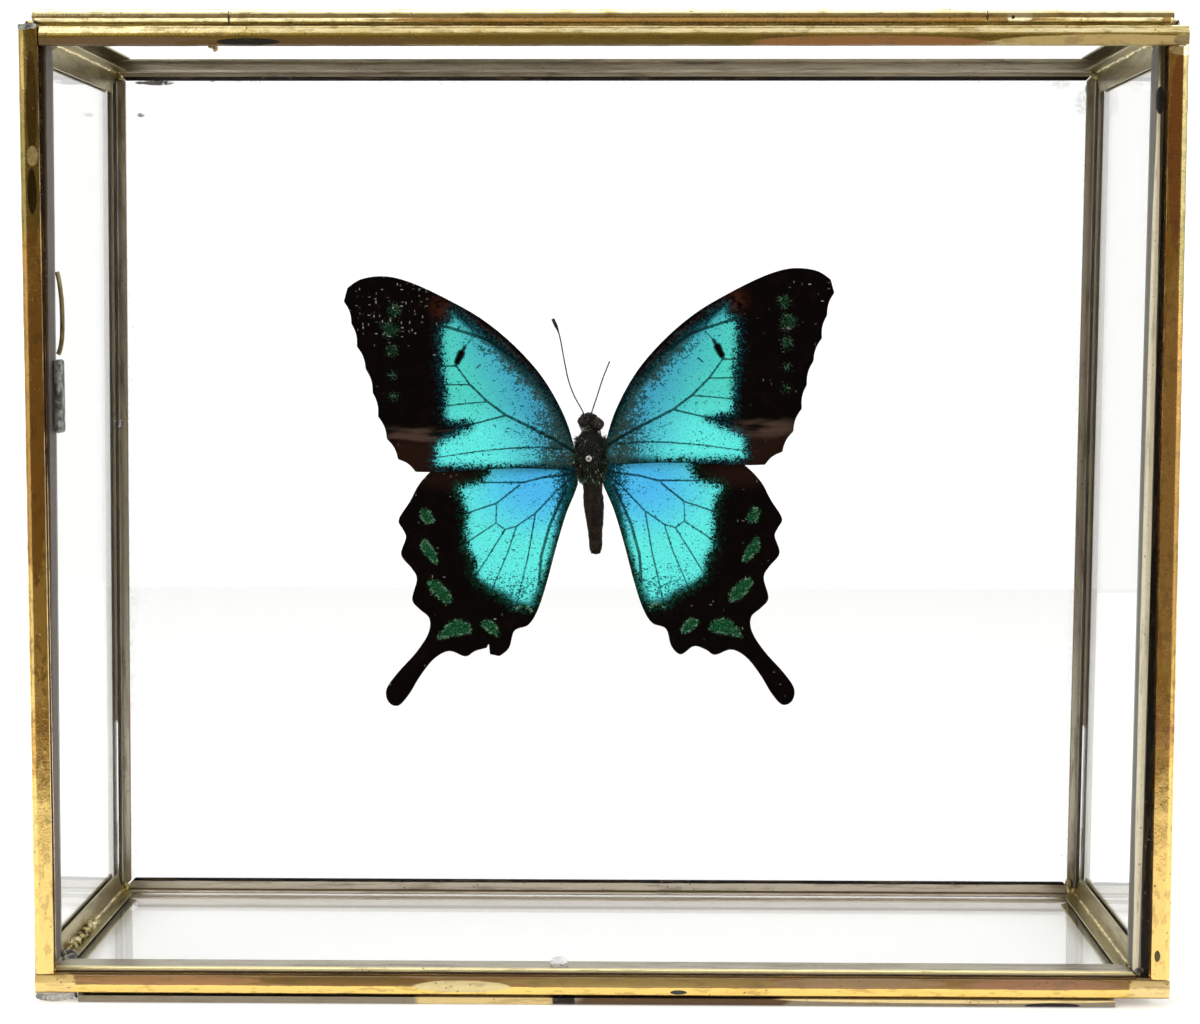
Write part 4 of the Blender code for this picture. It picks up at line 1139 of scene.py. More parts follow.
def forewing_ground(tree, wing):
    """Rust along the front edge and a streaky sheen low on the margin lie on the velvet."""
    ground = velvet(tree, wing, flat_near(tree, wing.at, 32.5, 2.0, 5.5, 4.0))
    rust = flat_near(tree, wing.at, 26.9, 29.4, 1.8, 2.2, 0.9)
    along_costa = tree.step(wing.margin, 0.5, 0.9) * tree.step(wing.margin, 1.5, 1.1)
    along_costa = along_costa * tree.step(wing.up, 10.0, 14.0) * tree.step(wing.out, 30.0, 27.0)
    rust = rust.most(along_costa * 0.6) * tree.step(wing.coarse, 0.35, 0.55)
    streaks = tree.step(tree.noise(tree.scaled(wing.at, (0.2, 1.3, 1.0)), 1.6), 0.4, 0.6)
    sheen = flat_near(tree, wing.at, 32.8, 6.0, 6.2, 1.6)
    return tree.mix(streaks * sheen * 0.38, tree.mix(rust, ground, RUST), GLOSS)


def fleck_share(tree, wing):
    """Rubbed scales are many at the left forewing's tip, few at the right one's."""
    tip = flat_near(tree, wing.at, 35.5, 28.5, 7.5, 5.5, 0.6)
    return tip * (0.06 + wing.left * 0.26)


print("grounds ready")

# %% Wing finish
VEIN_TEAL = linear(8, 36, 38)


def with_veins(tree, wing, colour):
    """The colour with its veins, and the mask of the veins for the underside."""
    line = tree.step(wing.vein + (wing.grain - 0.5) * 0.25, -0.1, 0.04)
    line = line * tree.step(wing.blue, -1.4, 0.2)
    tone = tree.mix(tree.step(wing.vein, 0.14, 0.26), VEIN_TEAL, VELVET)
    line = line * (0.6 + wing.coarse * 0.5).most(tree.step(wing.vein, 0.12, 0.24))
    return tree.mix(line.least(1.0), colour, tone), line


def with_green(tree, wing, colour, roughness, strength):
    """The colour with its green spots, paler on a ragged rim and dark between the scales."""
    grain = wing.grain
    patch = tree.step(wing.green + (grain - 0.5) * roughness, 0.0, 0.5)
    rim = tree.step(wing.green, 0.75, 0.2) * tree.step(wing.coarse, 0.44, 0.58)
    pale = (tree.step(grain, 0.54, 0.7) * 0.3).most(rim * 0.6)
    tone = tree.mix(pale, LEAF_GREEN, PALE_GREEN)
    tone = tree.mix(tree.step(grain, 0.5, 0.38) * 0.55, tone, VELVET)
    return tree.mix(patch * strength, colour, tone)


def wing_finish(name, hind):
    tree = new_tree(name)
    wing = wing_values(tree)
    grain = wing.grain
    ragged = (grain - 0.5) * 5.2 + (wing.coarse - 0.5) * 2.4 + (wing.cloud - 0.5) * 1.0
    field = tree.step(wing.blue + ragged, 0.1, 1.1)
    if hind:
        blue = dusted(tree, wing, *hindwing_blue(tree, wing), DEEP_TEAL)
        ground, fringe_tone = hindwing_ground(tree, wing), FOREST
    else:
        blue = dusted(tree, wing, *forewing_blue(tree, wing), MOSS)
        ground, fringe_tone = forewing_ground(tree, wing), DEEP_TEAL
    fringe = tree.step(wing.blue + ragged * 1.3, -1.4, 0.8)
    colour = tree.mix(field, tree.mix(fringe * 0.7, ground, fringe_tone), blue)
    colour, line = with_veins(tree, wing, colour)
    colour = with_green(tree, wing, colour, *((2.0, 0.95) if hind else (5.0, 0.4)))
    flecks = wing_flecks(tree, wing.at, 0.0 if hind else fleck_share(tree, wing))
    colour = tree.mix(flecks * (1.0 - field) * 0.9, colour, FLECK)
    under = tree.mix(line, tree.mix(grain, UNDER_BROWN, VELVET), VELVET)
    shader = tree.principled(
        Base_Color=tree.mix(wing.under, colour, under), Roughness=0.62 + grain * 0.2,
        Specular_IOR_Level=0.0, Normal=tree.bump(grain, 0.05, 0.5),
    )
    return tree.finish(shader)


FOREWING_FINISH = wing_finish("forewing_scales", False)
HINDWING_FINISH = wing_finish("hindwing_scales", True)
print("wing finishes:", FOREWING_FINISH.name, "and", HINDWING_FINISH.name)

# %% Four wings
FOREWING_Y = -1.7
HINDWING_Y = -0.2
LEFT_FOREWING_TURN = -1.0
LEFT_FOREWING_DROP = -0.9
LEFT_HINDWING_DROP = -0.45


for kind, side_name, outline, *hang in (
    ("forewing", "right", forewing_outline()),
    ("forewing", "left", forewing_outline(), LEFT_FOREWING_TURN, LEFT_FOREWING_DROP),
    ("hindwing", "right", hindwing_outline(False)),
    ("hindwing", "left", hindwing_outline(True), 0.0, LEFT_HINDWING_DROP),
):
    side = 1 if side_name == "right" else -1
    if kind == "forewing":
        settings = forewing_fields, side, FOREWING_Y, FOREWING_FINISH
    else:
        settings = hindwing_fields, side, HINDWING_Y, HINDWING_FINISH
    sheet = wing_sheet(f"{kind}_{side_name}_scales", outline, *settings, *hang)
    settle(sheet, "case", f"{kind}_scales", f"{kind}_{side_name}")

# %% [markdown]
# ## The insect's body
#
# Head, thorax and abdomen grew as one piece, so they are one skin over oval stations. Fur could be
# a particle system, but the export drops hair, so each tuft is a closed spike of four faces, all
# of them in one mesh with the skin. A number stored at each point gives every tuft its own tone.

# %% Rings, tubes and shapes in one mesh
def ring_faces(rings, sides):
    """Faces between rings of points that follow each other in one list, and at both ends."""
    faces = []
    for r in range(rings - 1):
        for k in range(sides):
            after = (k + 1) % sides
            low, high = r * sides, (r + 1) * sides
            faces.append((low + k, low + after, high + after, high + k))
    faces.append(tuple(reversed(range(sides))))
    faces.append(tuple((rings - 1) * sides + k for k in range(sides)))
    return faces


def tube(route, radii, sides=10):
    """Points and faces of a closed round tube along a route, in millimetres."""
    route = [Vector(p) for p in route]
    points = []
    across = None
    for i, (place, radius) in enumerate(zip(route, radii)):
        along = (route[min(i + 1, len(route) - 1)] - route[max(i - 1, 0)]).normalized()
        if across is None:
            across = along.orthogonal().normalized()
        across = (across - along * across.dot(along)).normalized()
        other = along.cross(across)
        for k in range(sides):
            turn = 2 * math.pi * k / sides
            points.append(place + (across * math.cos(turn) + other * math.sin(turn)) * radius)
    return points, ring_faces(len(route), sides)


def add_shape(points, faces, more_points, more_faces):
    start = len(points)
    points.extend(more_points)
    faces.extend(tuple(start + i for i in face) for face in more_faces)


print("a tube of two rings has", len(ring_faces(2, 10)), "faces")

# %% Body finish
CHITIN = linear(12, 9, 7)
CHESTNUT = linear(37, 24, 14)
FUR_GREEN = linear(52, 92, 64)
FUR_WHITE = linear(190, 196, 180)
FUR_GOLD = linear(128, 92, 52)
EYE_BROWN = linear(25, 16, 11)
THORAX_END = -5.0
HEAD_START = (4.8, 5.6)
COLLAR_PLACE = (-3.2, -2.0, 99.4)
COLLAR_REACH = (1.0, 3.0, 1.6)


def body_finish():
    tree = new_tree("insect_body")
    at = tree.place()
    height = tree.parts(at)[2] - THORAX.z / MM
    tone = tree.attribute("tone")
    fine = tree.noise(at, 0.35, 3.0, 0.7)
    cloud = tree.noise(at, 1.3, 2.0)
    thorax = tree.step(height + (cloud - 0.5) * 5.0, THORAX_END - 1.5, THORAX_END + 1.0)
    head = tree.step(height, *HEAD_START)
    abdomen = tree.mix(tree.step(cloud * 0.6 + fine * 0.4, 0.42, 0.58), CHITIN, CHESTNUT)
    abdomen = tree.mix(tree.step(tone, 0.93, 0.95) * 0.85, abdomen, FUR_GOLD)
    tufts = tree.step(tone, 0.6, 0.7) * tree.step(cloud, 0.36, 0.52)
    greenish = tree.mix(tufts, CHITIN, FUR_GREEN)
    greenish = tree.mix(tree.step(tone, 0.12, 0.08) * 0.3, greenish, FUR_GOLD)
    colour = tree.mix(thorax, abdomen, greenish)
    colour = tree.mix(head * 0.8, colour, tree.mix(fine, CHITIN, CHESTNUT))
    colour = tree.mix(tree.step(tone, 0.955, 0.965) * thorax, colour, FUR_WHITE)
    collar = tree.near(at, COLLAR_PLACE, COLLAR_REACH, 0.5) * tree.step(tone, 0.6, 0.7)
    colour = tree.mix(collar * 0.9, colour, FUR_WHITE)
    shader = tree.principled(
        Base_Color=colour, Roughness=0.6, Specular_IOR_Level=0.12,
        Normal=tree.bump(fine, 0.06, 0.6),
    )
    return tree.finish(shader)


print("the thorax ends", -THORAX_END, "mm below the wings' middle")


# %% Horn, of which antennae, legs and eyes are made
HORN_BROWN = linear(34, 24, 18)


def horn_finish(name, tone, roughness):
    tree = new_tree(name)
    bands = tree.noise(tree.place(), 0.5, 3.0)
    colour = tree.mix(bands, tone, tuple(0.45 * c for c in tone))
    shader = tree.principled(
        Base_Color=colour, Roughness=roughness + bands * 0.15, Specular_IOR_Level=0.25,
        Normal=tree.bump(bands, 0.05, 0.4),
    )
    return tree.finish(shader)


BODY_FINISH = body_finish()
HORN = horn_finish("insect_horn", HORN_BROWN, 0.4)
EYE = horn_finish("insect_eye", EYE_BROWN, 0.2)
print("insect finishes:", ", ".join(f.name for f in (BODY_FINISH, HORN, EYE)))

# %% Body skin
# height, shift to the right, half width and half depth
BODY_STATIONS = (
    (8.7, -0.3, 0.5, 0.5), (8.2, -0.3, 1.4, 1.3), (7.2, -0.2, 2.0, 1.7), (6.0, -0.1, 1.7, 1.6),
    (5.2, 0.0, 1.5, 1.5), (4.3, 0.0, 2.3, 2.2), (2.2, 0.0, 3.0, 2.8), (-0.4, 0.1, 3.1, 2.9),
    (-2.8, 0.2, 2.7, 2.6), (-4.4, 0.3, 1.9, 1.9), (-5.6, 0.4, 1.8, 1.9), (-8.0, 0.6, 2.0, 2.2),
    (-11.0, 0.8, 1.75, 2.0), (-13.6, 0.9, 1.42, 1.6), (-15.4, 1.0, 1.34, 1.4),
    (-16.4, 1.0, 1.28, 1.28), (-17.2, 1.0, 1.0, 1.0), (-17.7, 1.0, 0.62, 0.62),
    (-17.9, 1.0, 0.2, 0.2),
)
BODY_SIDES = 48
BODY_STEPS = 8
SKIN_IN = 0.12
SKIN_LUMPS = 0.12
WAIST = -4.5
SEGMENT = 1.75
SEGMENT_BULGE = 0.13


def body_skin():
    """Rings round the body, a little inside the CAD solid, with the abdomen's segments."""
    points = []
    stations = smooth_curve(BODY_STATIONS, BODY_STEPS)
    for height, shift, wide, deep in stations:
        bulge = 0.0
        if height < WAIST:
            wave = abs(math.sin(math.pi * (height - WAIST) / SEGMENT))
            bulge = SEGMENT_BULGE * wave - 0.06
        for k in range(BODY_SIDES):
            turn = 2 * math.pi * k / BODY_SIDES
            lump = noise.noise(Vector((wide * math.cos(turn), deep * math.sin(turn), height)) * 1.6)
            out = bulge - SKIN_IN + SKIN_LUMPS * lump
            points.append((
                shift + (wide + out) * math.cos(turn), (deep + out) * math.sin(turn), height
            ))
    return points, ring_faces(len(stations), BODY_SIDES)


print("skin points:", len(body_skin()[0]))

# %% [markdown]
# The fur lies flat and points backwards on the thorax and abdomen, and stands up on the head. A
# fixed seed scatters the roots, so every run grows the same coat, and a bare ring is left round
# the pin.

# %% Tufts
BODY_TUFTS = 13000
ROOT_TUFTS = 700
SUNK = 0.3
PIN_PLACE = (-0.2, 0.4)
PIN_CLEARANCE = 0.9
# how much a tuft lies down, its shortest and longest length, and its width
ABDOMEN_FUR = (2.6, (0.35, 0.6), 0.10)
THORAX_FUR = (2.2, (0.6, 1.15), 0.085)
HEAD_FUR = (0.5, (0.4, 0.75), 0.08)


def fur_at(height):
    if height < -4.0:
        return ABDOMEN_FUR
    return HEAD_FUR if height > 5.4 else THORAX_FUR


def tuft(root, direction, length, width):
    """A closed spike: three faces and the one it stands on."""
    across = direction.orthogonal().normalized()
    other = direction.cross(across)
    ring = []
    for k in range(3):
        turn = 2 * math.pi * k / 3
        ring.append(root + (across * math.cos(turn) + other * math.sin(turn)) * width)
    return [*ring, root + direction * length], [(0, 1, 3), (1, 2, 3), (2, 0, 3), (2, 1, 0)]


def body_tufts(count, seed=7):
    rng = random.Random(seed)
    stations = smooth_curve(BODY_STATIONS, BODY_STEPS)
    points, faces, tones = [], [], []
    heights = stations[:, 0]
    for _ in range(count):
        height = rng.uniform(-17.4, 8.4)
        shift, wide, deep = (np.interp(-height, -heights, stations[:, i]) for i in (1, 2, 3))
        turn = rng.uniform(0, 2 * math.pi)
        skin = Vector((math.cos(turn), math.sin(turn), 0))
        root = Vector((shift + (wide - SUNK) * skin.x, (deep - SUNK) * skin.y, height))
        from_pin = math.hypot(root.x - PIN_PLACE[0], height - PIN_PLACE[1])
        if from_pin < PIN_CLEARANCE and root.y < 0:
            continue
        lean, lengths, width = fur_at(height)
        length = rng.uniform(*lengths)
        away = Vector((rng.gauss(0, 0.3), rng.gauss(0, 0.3), -lean + rng.gauss(0, 0.4)))
        shape = tuft(root, (skin + away).normalized(), length, width)
        add_shape(points, faces, *shape)
        tones += [rng.random()] * 4
    return points, faces, tones


def root_tufts(count, seed=11):
    """Long hair that spreads from the thorax over the roots of the wings."""
    rng = random.Random(seed)
    points, faces, tones = [], [], []
    for _ in range(count):
        side = rng.choice((-1, 1))
        height = rng.uniform(-2.6, 4.2)
        root = Vector((side * 2.3 + 0.1, rng.uniform(-2.2, 1.2), height))
        droop = -0.25 if height > 0 else -0.45
        direction = Vector((side, rng.gauss(-0.15, 0.3), droop + rng.gauss(0, 0.35))).normalized()
        add_shape(points, faces, *tuft(root, direction, rng.uniform(0.7, 1.3), 0.09))
        tones += [rng.random() * 0.95] * 4
    return points, faces, tones


print("fur of the thorax, head and abdomen:", THORAX_FUR, HEAD_FUR, ABDOMEN_FUR)

# %% Body and eyes
SKIN_TONE = 0.4
EYES = {"left": ((-1.25, -0.45, 7.0), 1.1), "right": ((1.35, -0.45, 6.5), 1.2)}
EYE_DENTS = 0.16


def make_body():
    points, faces = body_skin()
    tones = [SKIN_TONE] * len(points)
    for more_points, more_faces, more_tones in (body_tufts(BODY_TUFTS), root_tufts(ROOT_TUFTS)):
        add_shape(points, faces, more_points, more_faces)
        tones += more_tones
    placed = [Vector(point) + THORAX / MM for point in points]
    body = mesh_object("butterfly_body_fur", placed, faces, BODY_FINISH)
    store(body, "tone", tones)
    print("body", len(faces), "faces")
    return settle(body, "case", "insect_body", "butterfly_body")


def make_eye(name, place, radius):
    bm = bmesh.new()
    bmesh.ops.create_icosphere(bm, subdivisions=4, radius=radius)
    middle = THORAX / MM + Vector(place)
    points = []
    for vertex in bm.verts:
        dent = 1.0 + EYE_DENTS * noise.noise(vertex.co * 1.1 + middle)
        points.append(vertex.co * dent + middle)
    faces = [tuple(vertex.index for vertex in face.verts) for face in bm.faces]
    bm.free()
    return settle(mesh_object(name, points, faces, EYE), "case", "insect_body")


make_body()
for side_name, (place, radius) in EYES.items():
    make_eye(f"eye_{side_name}", place, radius)

# %% [markdown]
# Antennae are strings of some forty short beads and legs are thin jointed rods. A curve with a
# bevel has one smooth radius, so both are tubes whose radius swells and narrows along the way.

# %% Antennae
LEFT_ANTENNA = (
    (-1.2, 8.2), (-1.5, 9.1), (-3.0, 11.8), (-4.1, 14.8), (-4.9, 18.6), (-5.8, 23.2), (-7.0, 26.1),
)
RIGHT_ANTENNA = ((0.2, 8.3), (0.4, 9.2), (1.2, 11.6), (2.3, 15.0), (3.6, 18.3))
ANTENNA_DEPTH = -1.0
ANTENNA_RADIUS = 0.125
ANTENNA_TIP = 0.06
BEAD_LENGTH = 0.42
CLUB_LENGTH = 2.8
CLUB_SWELL = 0.2


def make_antenna(name, path, club):
    flat = smooth_curve(path, 40)
    lengths = np.concatenate(([0.0], np.cumsum(np.linalg.norm(np.diff(flat, axis=0), axis=1))))
    route = [THORAX / MM + Vector((x, ANTENNA_DEPTH, z)) for x, z in flat]
    radii = []
    for gone in lengths:
        radius = ANTENNA_RADIUS + 0.03 * math.sin(2 * math.pi * gone / BEAD_LENGTH)
        if club:
            share = (gone - lengths[-1] + CLUB_LENGTH) / (CLUB_LENGTH / 2)
            radius += CLUB_SWELL * min(max(share, 0.0), 1.0)
        radii.append(radius)
    radii[0] = radii[-1] = ANTENNA_TIP
    obj = mesh_object(f"{name}_beads", *tube(route, radii), HORN)
    return settle(obj, "case", "insect_horn", name)


# the right one has lost its tip and so its club
make_antenna("antenna_left", LEFT_ANTENNA, True)
make_antenna("antenna_right", RIGHT_ANTENNA, False)
print("antennae made")

# %% Legs
LEG_ROUTES = {
    "front": ((1.7, 2.8, 2.6), (1.9, 4.6, 3.6), (1.4, 6.4, 5.8), (0.9, 7.4, 3.2)),
    "middle": ((1.9, 3.1, -0.9), (4.4, 5.0, 0.6), (5.8, 6.8, -0.2), (4.2, 7.8, -3.4)),
    "hind": ((1.7, 2.9, -2.4), (1.7, 4.8, -3.8), (1.2, 6.2, -7.6), (0.7, 7.2, -12.2)),
}
ABDOMEN_SHIFT = 0.1
KNEE_LENGTH = 0.03


def make_leg(name, joints):
    route = smooth_curve(joints, 14)
    radii = []
    for along in np.linspace(0, 1, len(route)):
        knee = max(math.exp(-((along - j / 3) / KNEE_LENGTH) ** 2) for j in (1, 2))
        radii.append((0.24 - 0.12 * along) * (0.85 + 0.35 * knee))
    obj = mesh_object(f"{name}_joints", *tube(route, radii), HORN)
    return settle(obj, "case", "insect_horn", name)


for pair, joints in LEG_ROUTES.items():
    for side_name, side in (("left", -1), ("right", 1)):
        placed = []
        for x, y, z in joints:
            shift = ABDOMEN_SHIFT * min(max(-z, 0.0), 9.0)
            placed.append(THORAX / MM + Vector((side * x + shift, y, z)))
        make_leg(f"leg_{pair}_{side_name}", placed)
print("legs made:", 2 * len(LEG_ROUTES))

# %% [markdown]
# ## Pin, post and clear plastic
#
# The pin is drawn steel. The post, the pads and the stop are clear: plain transmission again, with
# a slightly rough surface because they are moulded or were poured.

# %% Clear plastic and steel
CLEAR_PLASTIC_TINT = (0.93, 0.935, 0.93)
SET_GLUE = 1.46
PIN_STEEL = (0.5, 0.49, 0.46)


def plastic_finish():
    tree = new_tree("clear_plastic")
    lumps = tree.noise(tree.place(), 1.2, 2.0)
    shader = tree.principled(
        Base_Color=CLEAR_PLASTIC_TINT, Roughness=0.05, IOR=SET_GLUE, Transmission_Weight=1.0,
        Normal=tree.bump(lumps, 0.05, 0.5),
    )
    return tree.finish(shader)


def steel_finish():
    tree = new_tree("pin_steel")
    drawn = tree.noise(tree.scaled(tree.place(), (4.0, 0.4, 4.0)), 0.5, 2.0)
    shader = tree.principled(
        Base_Color=PIN_STEEL, Metallic=1.0, Roughness=0.18 + drawn * 0.15
    )
    return tree.finish(shader)


PLASTIC = plastic_finish()
for name in ("clear_post", "clear_stop", "pad_front_left", "pad_back_left", "pad_back_right"):
    dress(name, PLASTIC)
    clear(nodes[name])
dress("insect_pin", steel_finish())
print("plastic and steel dressed")

# %% [markdown]
# ## The lid's frame
#
# Each bar is a strip folded round the edge of the pane. Its face has a shallow ridge: the inner
# part leans towards the pane and mirrors the dark room, and the outer part leans back and mirrors
# the bright table or ceiling, which draws the two bands of the top and bottom bars. Each bar is
# swept from one profile, with small dents from the rollers. A bevelled box would mirror one tone.

# %% Profile of a bar
LID_WIDTH = 200.0
LID_HEIGHT = 169.1
LID_BOTTOM = 1.4
LID_CENTRE_X = 0.45
LID_FRONT_Y = -33.5
LID_FACE = 3.3
CAME = 3.0
WALL = 0.35
GAP = 0.3
LIP_BACK = 0.25
FACET_BACK = 0.5
WIDE_FACET = 1.75
SLIM_FACET = 1.0
CORNER = 0.4
BACK_CORNER = 0.5
MOUTH = 0.08


def arc(centre, radii, start, steps):
    """A quarter turn of an ellipse that starts at an angle in degrees."""
    turns = [math.radians(start + 90 * i / steps) for i in range(steps + 1)]
    return [
        (centre[0] + radii[0] * math.cos(t), centre[1] + radii[1] * math.sin(t)) for t in turns
    ]


def channel_profile(facet):
    """The outer skin from lip to lip and then the flat inside, as (across, depth).

    facet is how far from the closed edge the ridge of the face is."""
    back = FACET_BACK * (facet - CORNER) / (WIDE_FACET - CORNER)
    front = []
    for i in range(7):
        across = LID_FACE + (facet - LID_FACE) * i / 6
        front.append((across, LIP_BACK * ((across - facet) / (LID_FACE - facet)) ** 1.3))
    for i in range(1, 7):
        across = facet + (CORNER - facet) * i / 6
        front.append((across, back * ((facet - across) / (facet - CORNER)) ** 1.15))
    middle = (CORNER, back + CORNER)
    corner = list(reversed(arc(middle, (CORNER, CORNER), 180, 6)))[1:]
    side = [(0.0, CAME / 2)]
    back_corner = (BACK_CORNER, CAME - BACK_CORNER)
    rear = list(reversed(arc(back_corner, (BACK_CORNER,) * 2, 90, 4)))
    outer = front + corner + side + rear + [(LID_FACE / 2, CAME), (LID_FACE, CAME)]
    inner = [
        (LID_FACE, CAME - WALL), (WALL, CAME - WALL), (WALL, WALL + FACET_BACK),
        (LID_FACE, WALL + FACET_BACK), (LID_FACE, LIP_BACK + MOUTH),
    ]
    return outer, inner


print("profile points:", [len(part) for part in channel_profile(WIDE_FACET)])

# %% [markdown]
# The profile is carried along the bar in short steps. Two sizes of noise push its outer skin in and
# out by a few hundredths of a millimetre, so that the mirror images in it waver.

# %% Sweeping a bar
RING_STEP = 0.6
DENT = 0.045
LONG_DENTS, SHORT_DENTS = 0.22, 1.3
CREASE_ANGLE = math.radians(50)


def face_outwards(obj):
    """Turns all faces of a closed mesh outwards."""
    bm = bmesh.new()
    bm.from_mesh(obj.data)
    bmesh.ops.recalc_face_normals(bm, faces=bm.faces)
    if bm.calc_volume(signed=True) < 0:
        bmesh.ops.reverse_faces(bm, faces=bm.faces)
    bm.to_mesh(obj.data)
    bm.free()


def make_channel(name, axis, start, end, edge, inward, facet, finish):
    """A lid bar along X or Z. edge is where its closed side is, inward the way it opens."""
    outer, inner = channel_profile(facet)
    profile = outer + inner
    across_axis = 2 - axis
    rings = int((end - start) / RING_STEP) + 1
    points = []
    for r in range(rings + 1):
        along = start + (end - start) * r / rings
        for i, (across, depth) in enumerate(profile):
            point = Vector((0.0, LID_FRONT_Y + depth, 0.0))
            point[axis] = along
            point[across_axis] = edge + inward * across
            if i < len(outer):
                dent = noise.noise(point * LONG_DENTS) * DENT
                dent += noise.noise(point * SHORT_DENTS) * DENT * 0.35
                point.y += dent
                if depth > CORNER / 2:
                    point[across_axis] += dent * inward
            points.append(point)
    obj = mesh_object(name, points, ring_faces(rings + 1, len(profile)), finish)
    face_outwards(obj)
    obj.data.set_sharp_from_angle(angle=CREASE_ANGLE)
    return obj


print("a ring every", RING_STEP, "mm")

# %% [markdown]
# Where the photograph shows a stain, a bare spot or torn foil, the finish gets a patch: where it
# is, how far it reaches, its tone and how matt it is. They are read off the photograph.
# Some patches are painted reflection instead: the dark bands along the top and bottom bars, where
# the face mirrors the dark room.

# %% Patches on the top bar and the side bars
LID_TOP_PATCHES = (
    # The first patch is painted reflection: a darker band along the middle of the face, where it
    # mirrors the dark room. The broad patches on the lower half make it darker and matt, in tones
    # that change along the bar: partly tarnish, partly painted reflection of the dark room.
    ((0.0, -33.5, 168.5), (EVERYWHERE, 4.0, 0.75), (0.34, 0.24, 0.05), 0.12),
    ((-82.0, -33.5, 167.5), (21.0, 4.0, 1.05), (0.21, 0.135, 0.065), 0.4),
    ((-45.0, -33.5, 167.4), (28.0, 4.0, 0.95), (0.2, 0.12, 0.04), 0.35),
    ((0.0, -33.5, 167.3), (34.0, 4.0, 0.85), (0.26, 0.18, 0.04), 0.25),
    ((46.0, -33.5, 167.6), (20.0, 4.0, 1.1), (0.34, 0.16, 0.05), 0.5),
    ((-60.0, -33.5, 167.7), (5.5, 4.0, 0.6), (0.035, 0.035, 0.03), 0.3),
    ((87.0, -33.5, 167.6), (20.0, 4.0, 1.25), (0.6, 0.44, 0.17), 0.5),
    ((99.4, -33.5, 168.0), (1.6, 4.0, 1.0), (0.8, 0.68, 0.36), 0.1),
)
LID_LEFT_PATCHES = (
    ((-98.0, -33.5, 152.0), (2.4, 4.0, 22.0), (0.4, 0.31, 0.1), 0.0),
    ((-97.4, -33.5, 157.0), (0.9, 4.0, 9.0), (0.2, 0.14, 0.05), 0.0),
    ((-98.6, -33.5, 164.0), (0.6, 4.0, 5.0), (0.66, 0.5, 0.17), 0.0),
    ((-97.4, -33.5, 148.3), (0.9, 4.0, 1.7), (0.72, 0.6, 0.27), 0.1),
    ((-97.5, -33.5, 142.3), (0.8, 4.0, 4.0), (0.09, 0.07, 0.03), 0.0),
    ((-98.0, -33.5, 106.0), (2.4, 4.0, 32.0), AMBER, 0.0),
    ((-98.0, -33.5, 14.0), (3.4, 4.0, 24.0), (0.8, 0.56, 0.19), 0.0),
)
LID_RIGHT_PATCHES = (
    ((98.7, -33.5, 150.0), (1.5, 4.0, 17.0), (0.4, 0.17, 0.05), 0.1),
    ((100.1, -33.3, 146.0), (0.75, 4.0, 34.0), (0.34, 0.28, 0.11), 0.15),
    ((98.9, -33.5, 95.0), (1.9, 4.0, 36.0), AMBER, 0.1),
    ((98.9, -33.5, 16.0), (3.4, 4.0, 26.0), (0.8, 0.54, 0.18), 0.0),
    ((98.15, -33.5, 9.2), (0.5, 4.0, 1.0), (0.05, 0.05, 0.02), 0.3),
    ((99.5, -33.5, 166.3), (2.4, 4.0, 1.0), (0.8, 0.66, 0.34), 0.1),
)
print("patches:", len(LID_TOP_PATCHES), len(LID_LEFT_PATCHES), len(LID_RIGHT_PATCHES))

# %% Patches on the bottom bar
FOIL = (0.66, 0.54, 0.26)
LID_BOTTOM_PATCHES = (
    # The first patch is painted reflection: a darker, half matt band along the upper part of the
    # face, where it mirrors the dark room. The five patches after it change its tone along the bar:
    # partly tarnish, partly the same painted reflection.
    ((0.0, -33.5, 4.05), (EVERYWHERE, 4.0, 0.98), (0.28, 0.16, 0.055), 0.4),
    ((-76.0, -33.5, 3.9), (17.0, 4.0, 0.8), (0.36, 0.19, 0.075), 0.5),
    ((-45.0, -33.5, 4.0), (15.0, 4.0, 0.95), (0.21, 0.125, 0.035), 0.35),
    ((8.0, -33.5, 4.0), (26.0, 4.0, 0.8), (0.32, 0.22, 0.07), 0.4),
    ((46.0, -33.5, 4.0), (16.0, 4.0, 0.8), (0.3, 0.19, 0.09), 0.55),
    ((78.0, -33.5, 3.9), (13.0, 4.0, 0.9), (0.32, 0.16, 0.08), 0.55),
    ((-24.0, -33.5, 3.1), (8.6, 4.0, 1.1), FOIL, 0.6),
    ((-97.4, -33.5, 3.3), (5.0, 4.0, 3.0), (0.8, 0.58, 0.22), 0.3),
    ((97.6, -33.5, 3.3), (4.4, 4.0, 3.0), (0.78, 0.58, 0.25), 0.3),
    ((14.2, -33.5, 2.2), (1.5, 4.0, 0.45), (0.04, 0.04, 0.035), 0.4),
    ((0.0, -33.5, 1.55), (EVERYWHERE, 4.0, 0.16), (0.36, 0.24, 0.07), 0.2),
)
print("patches:", len(LID_BOTTOM_PATCHES))


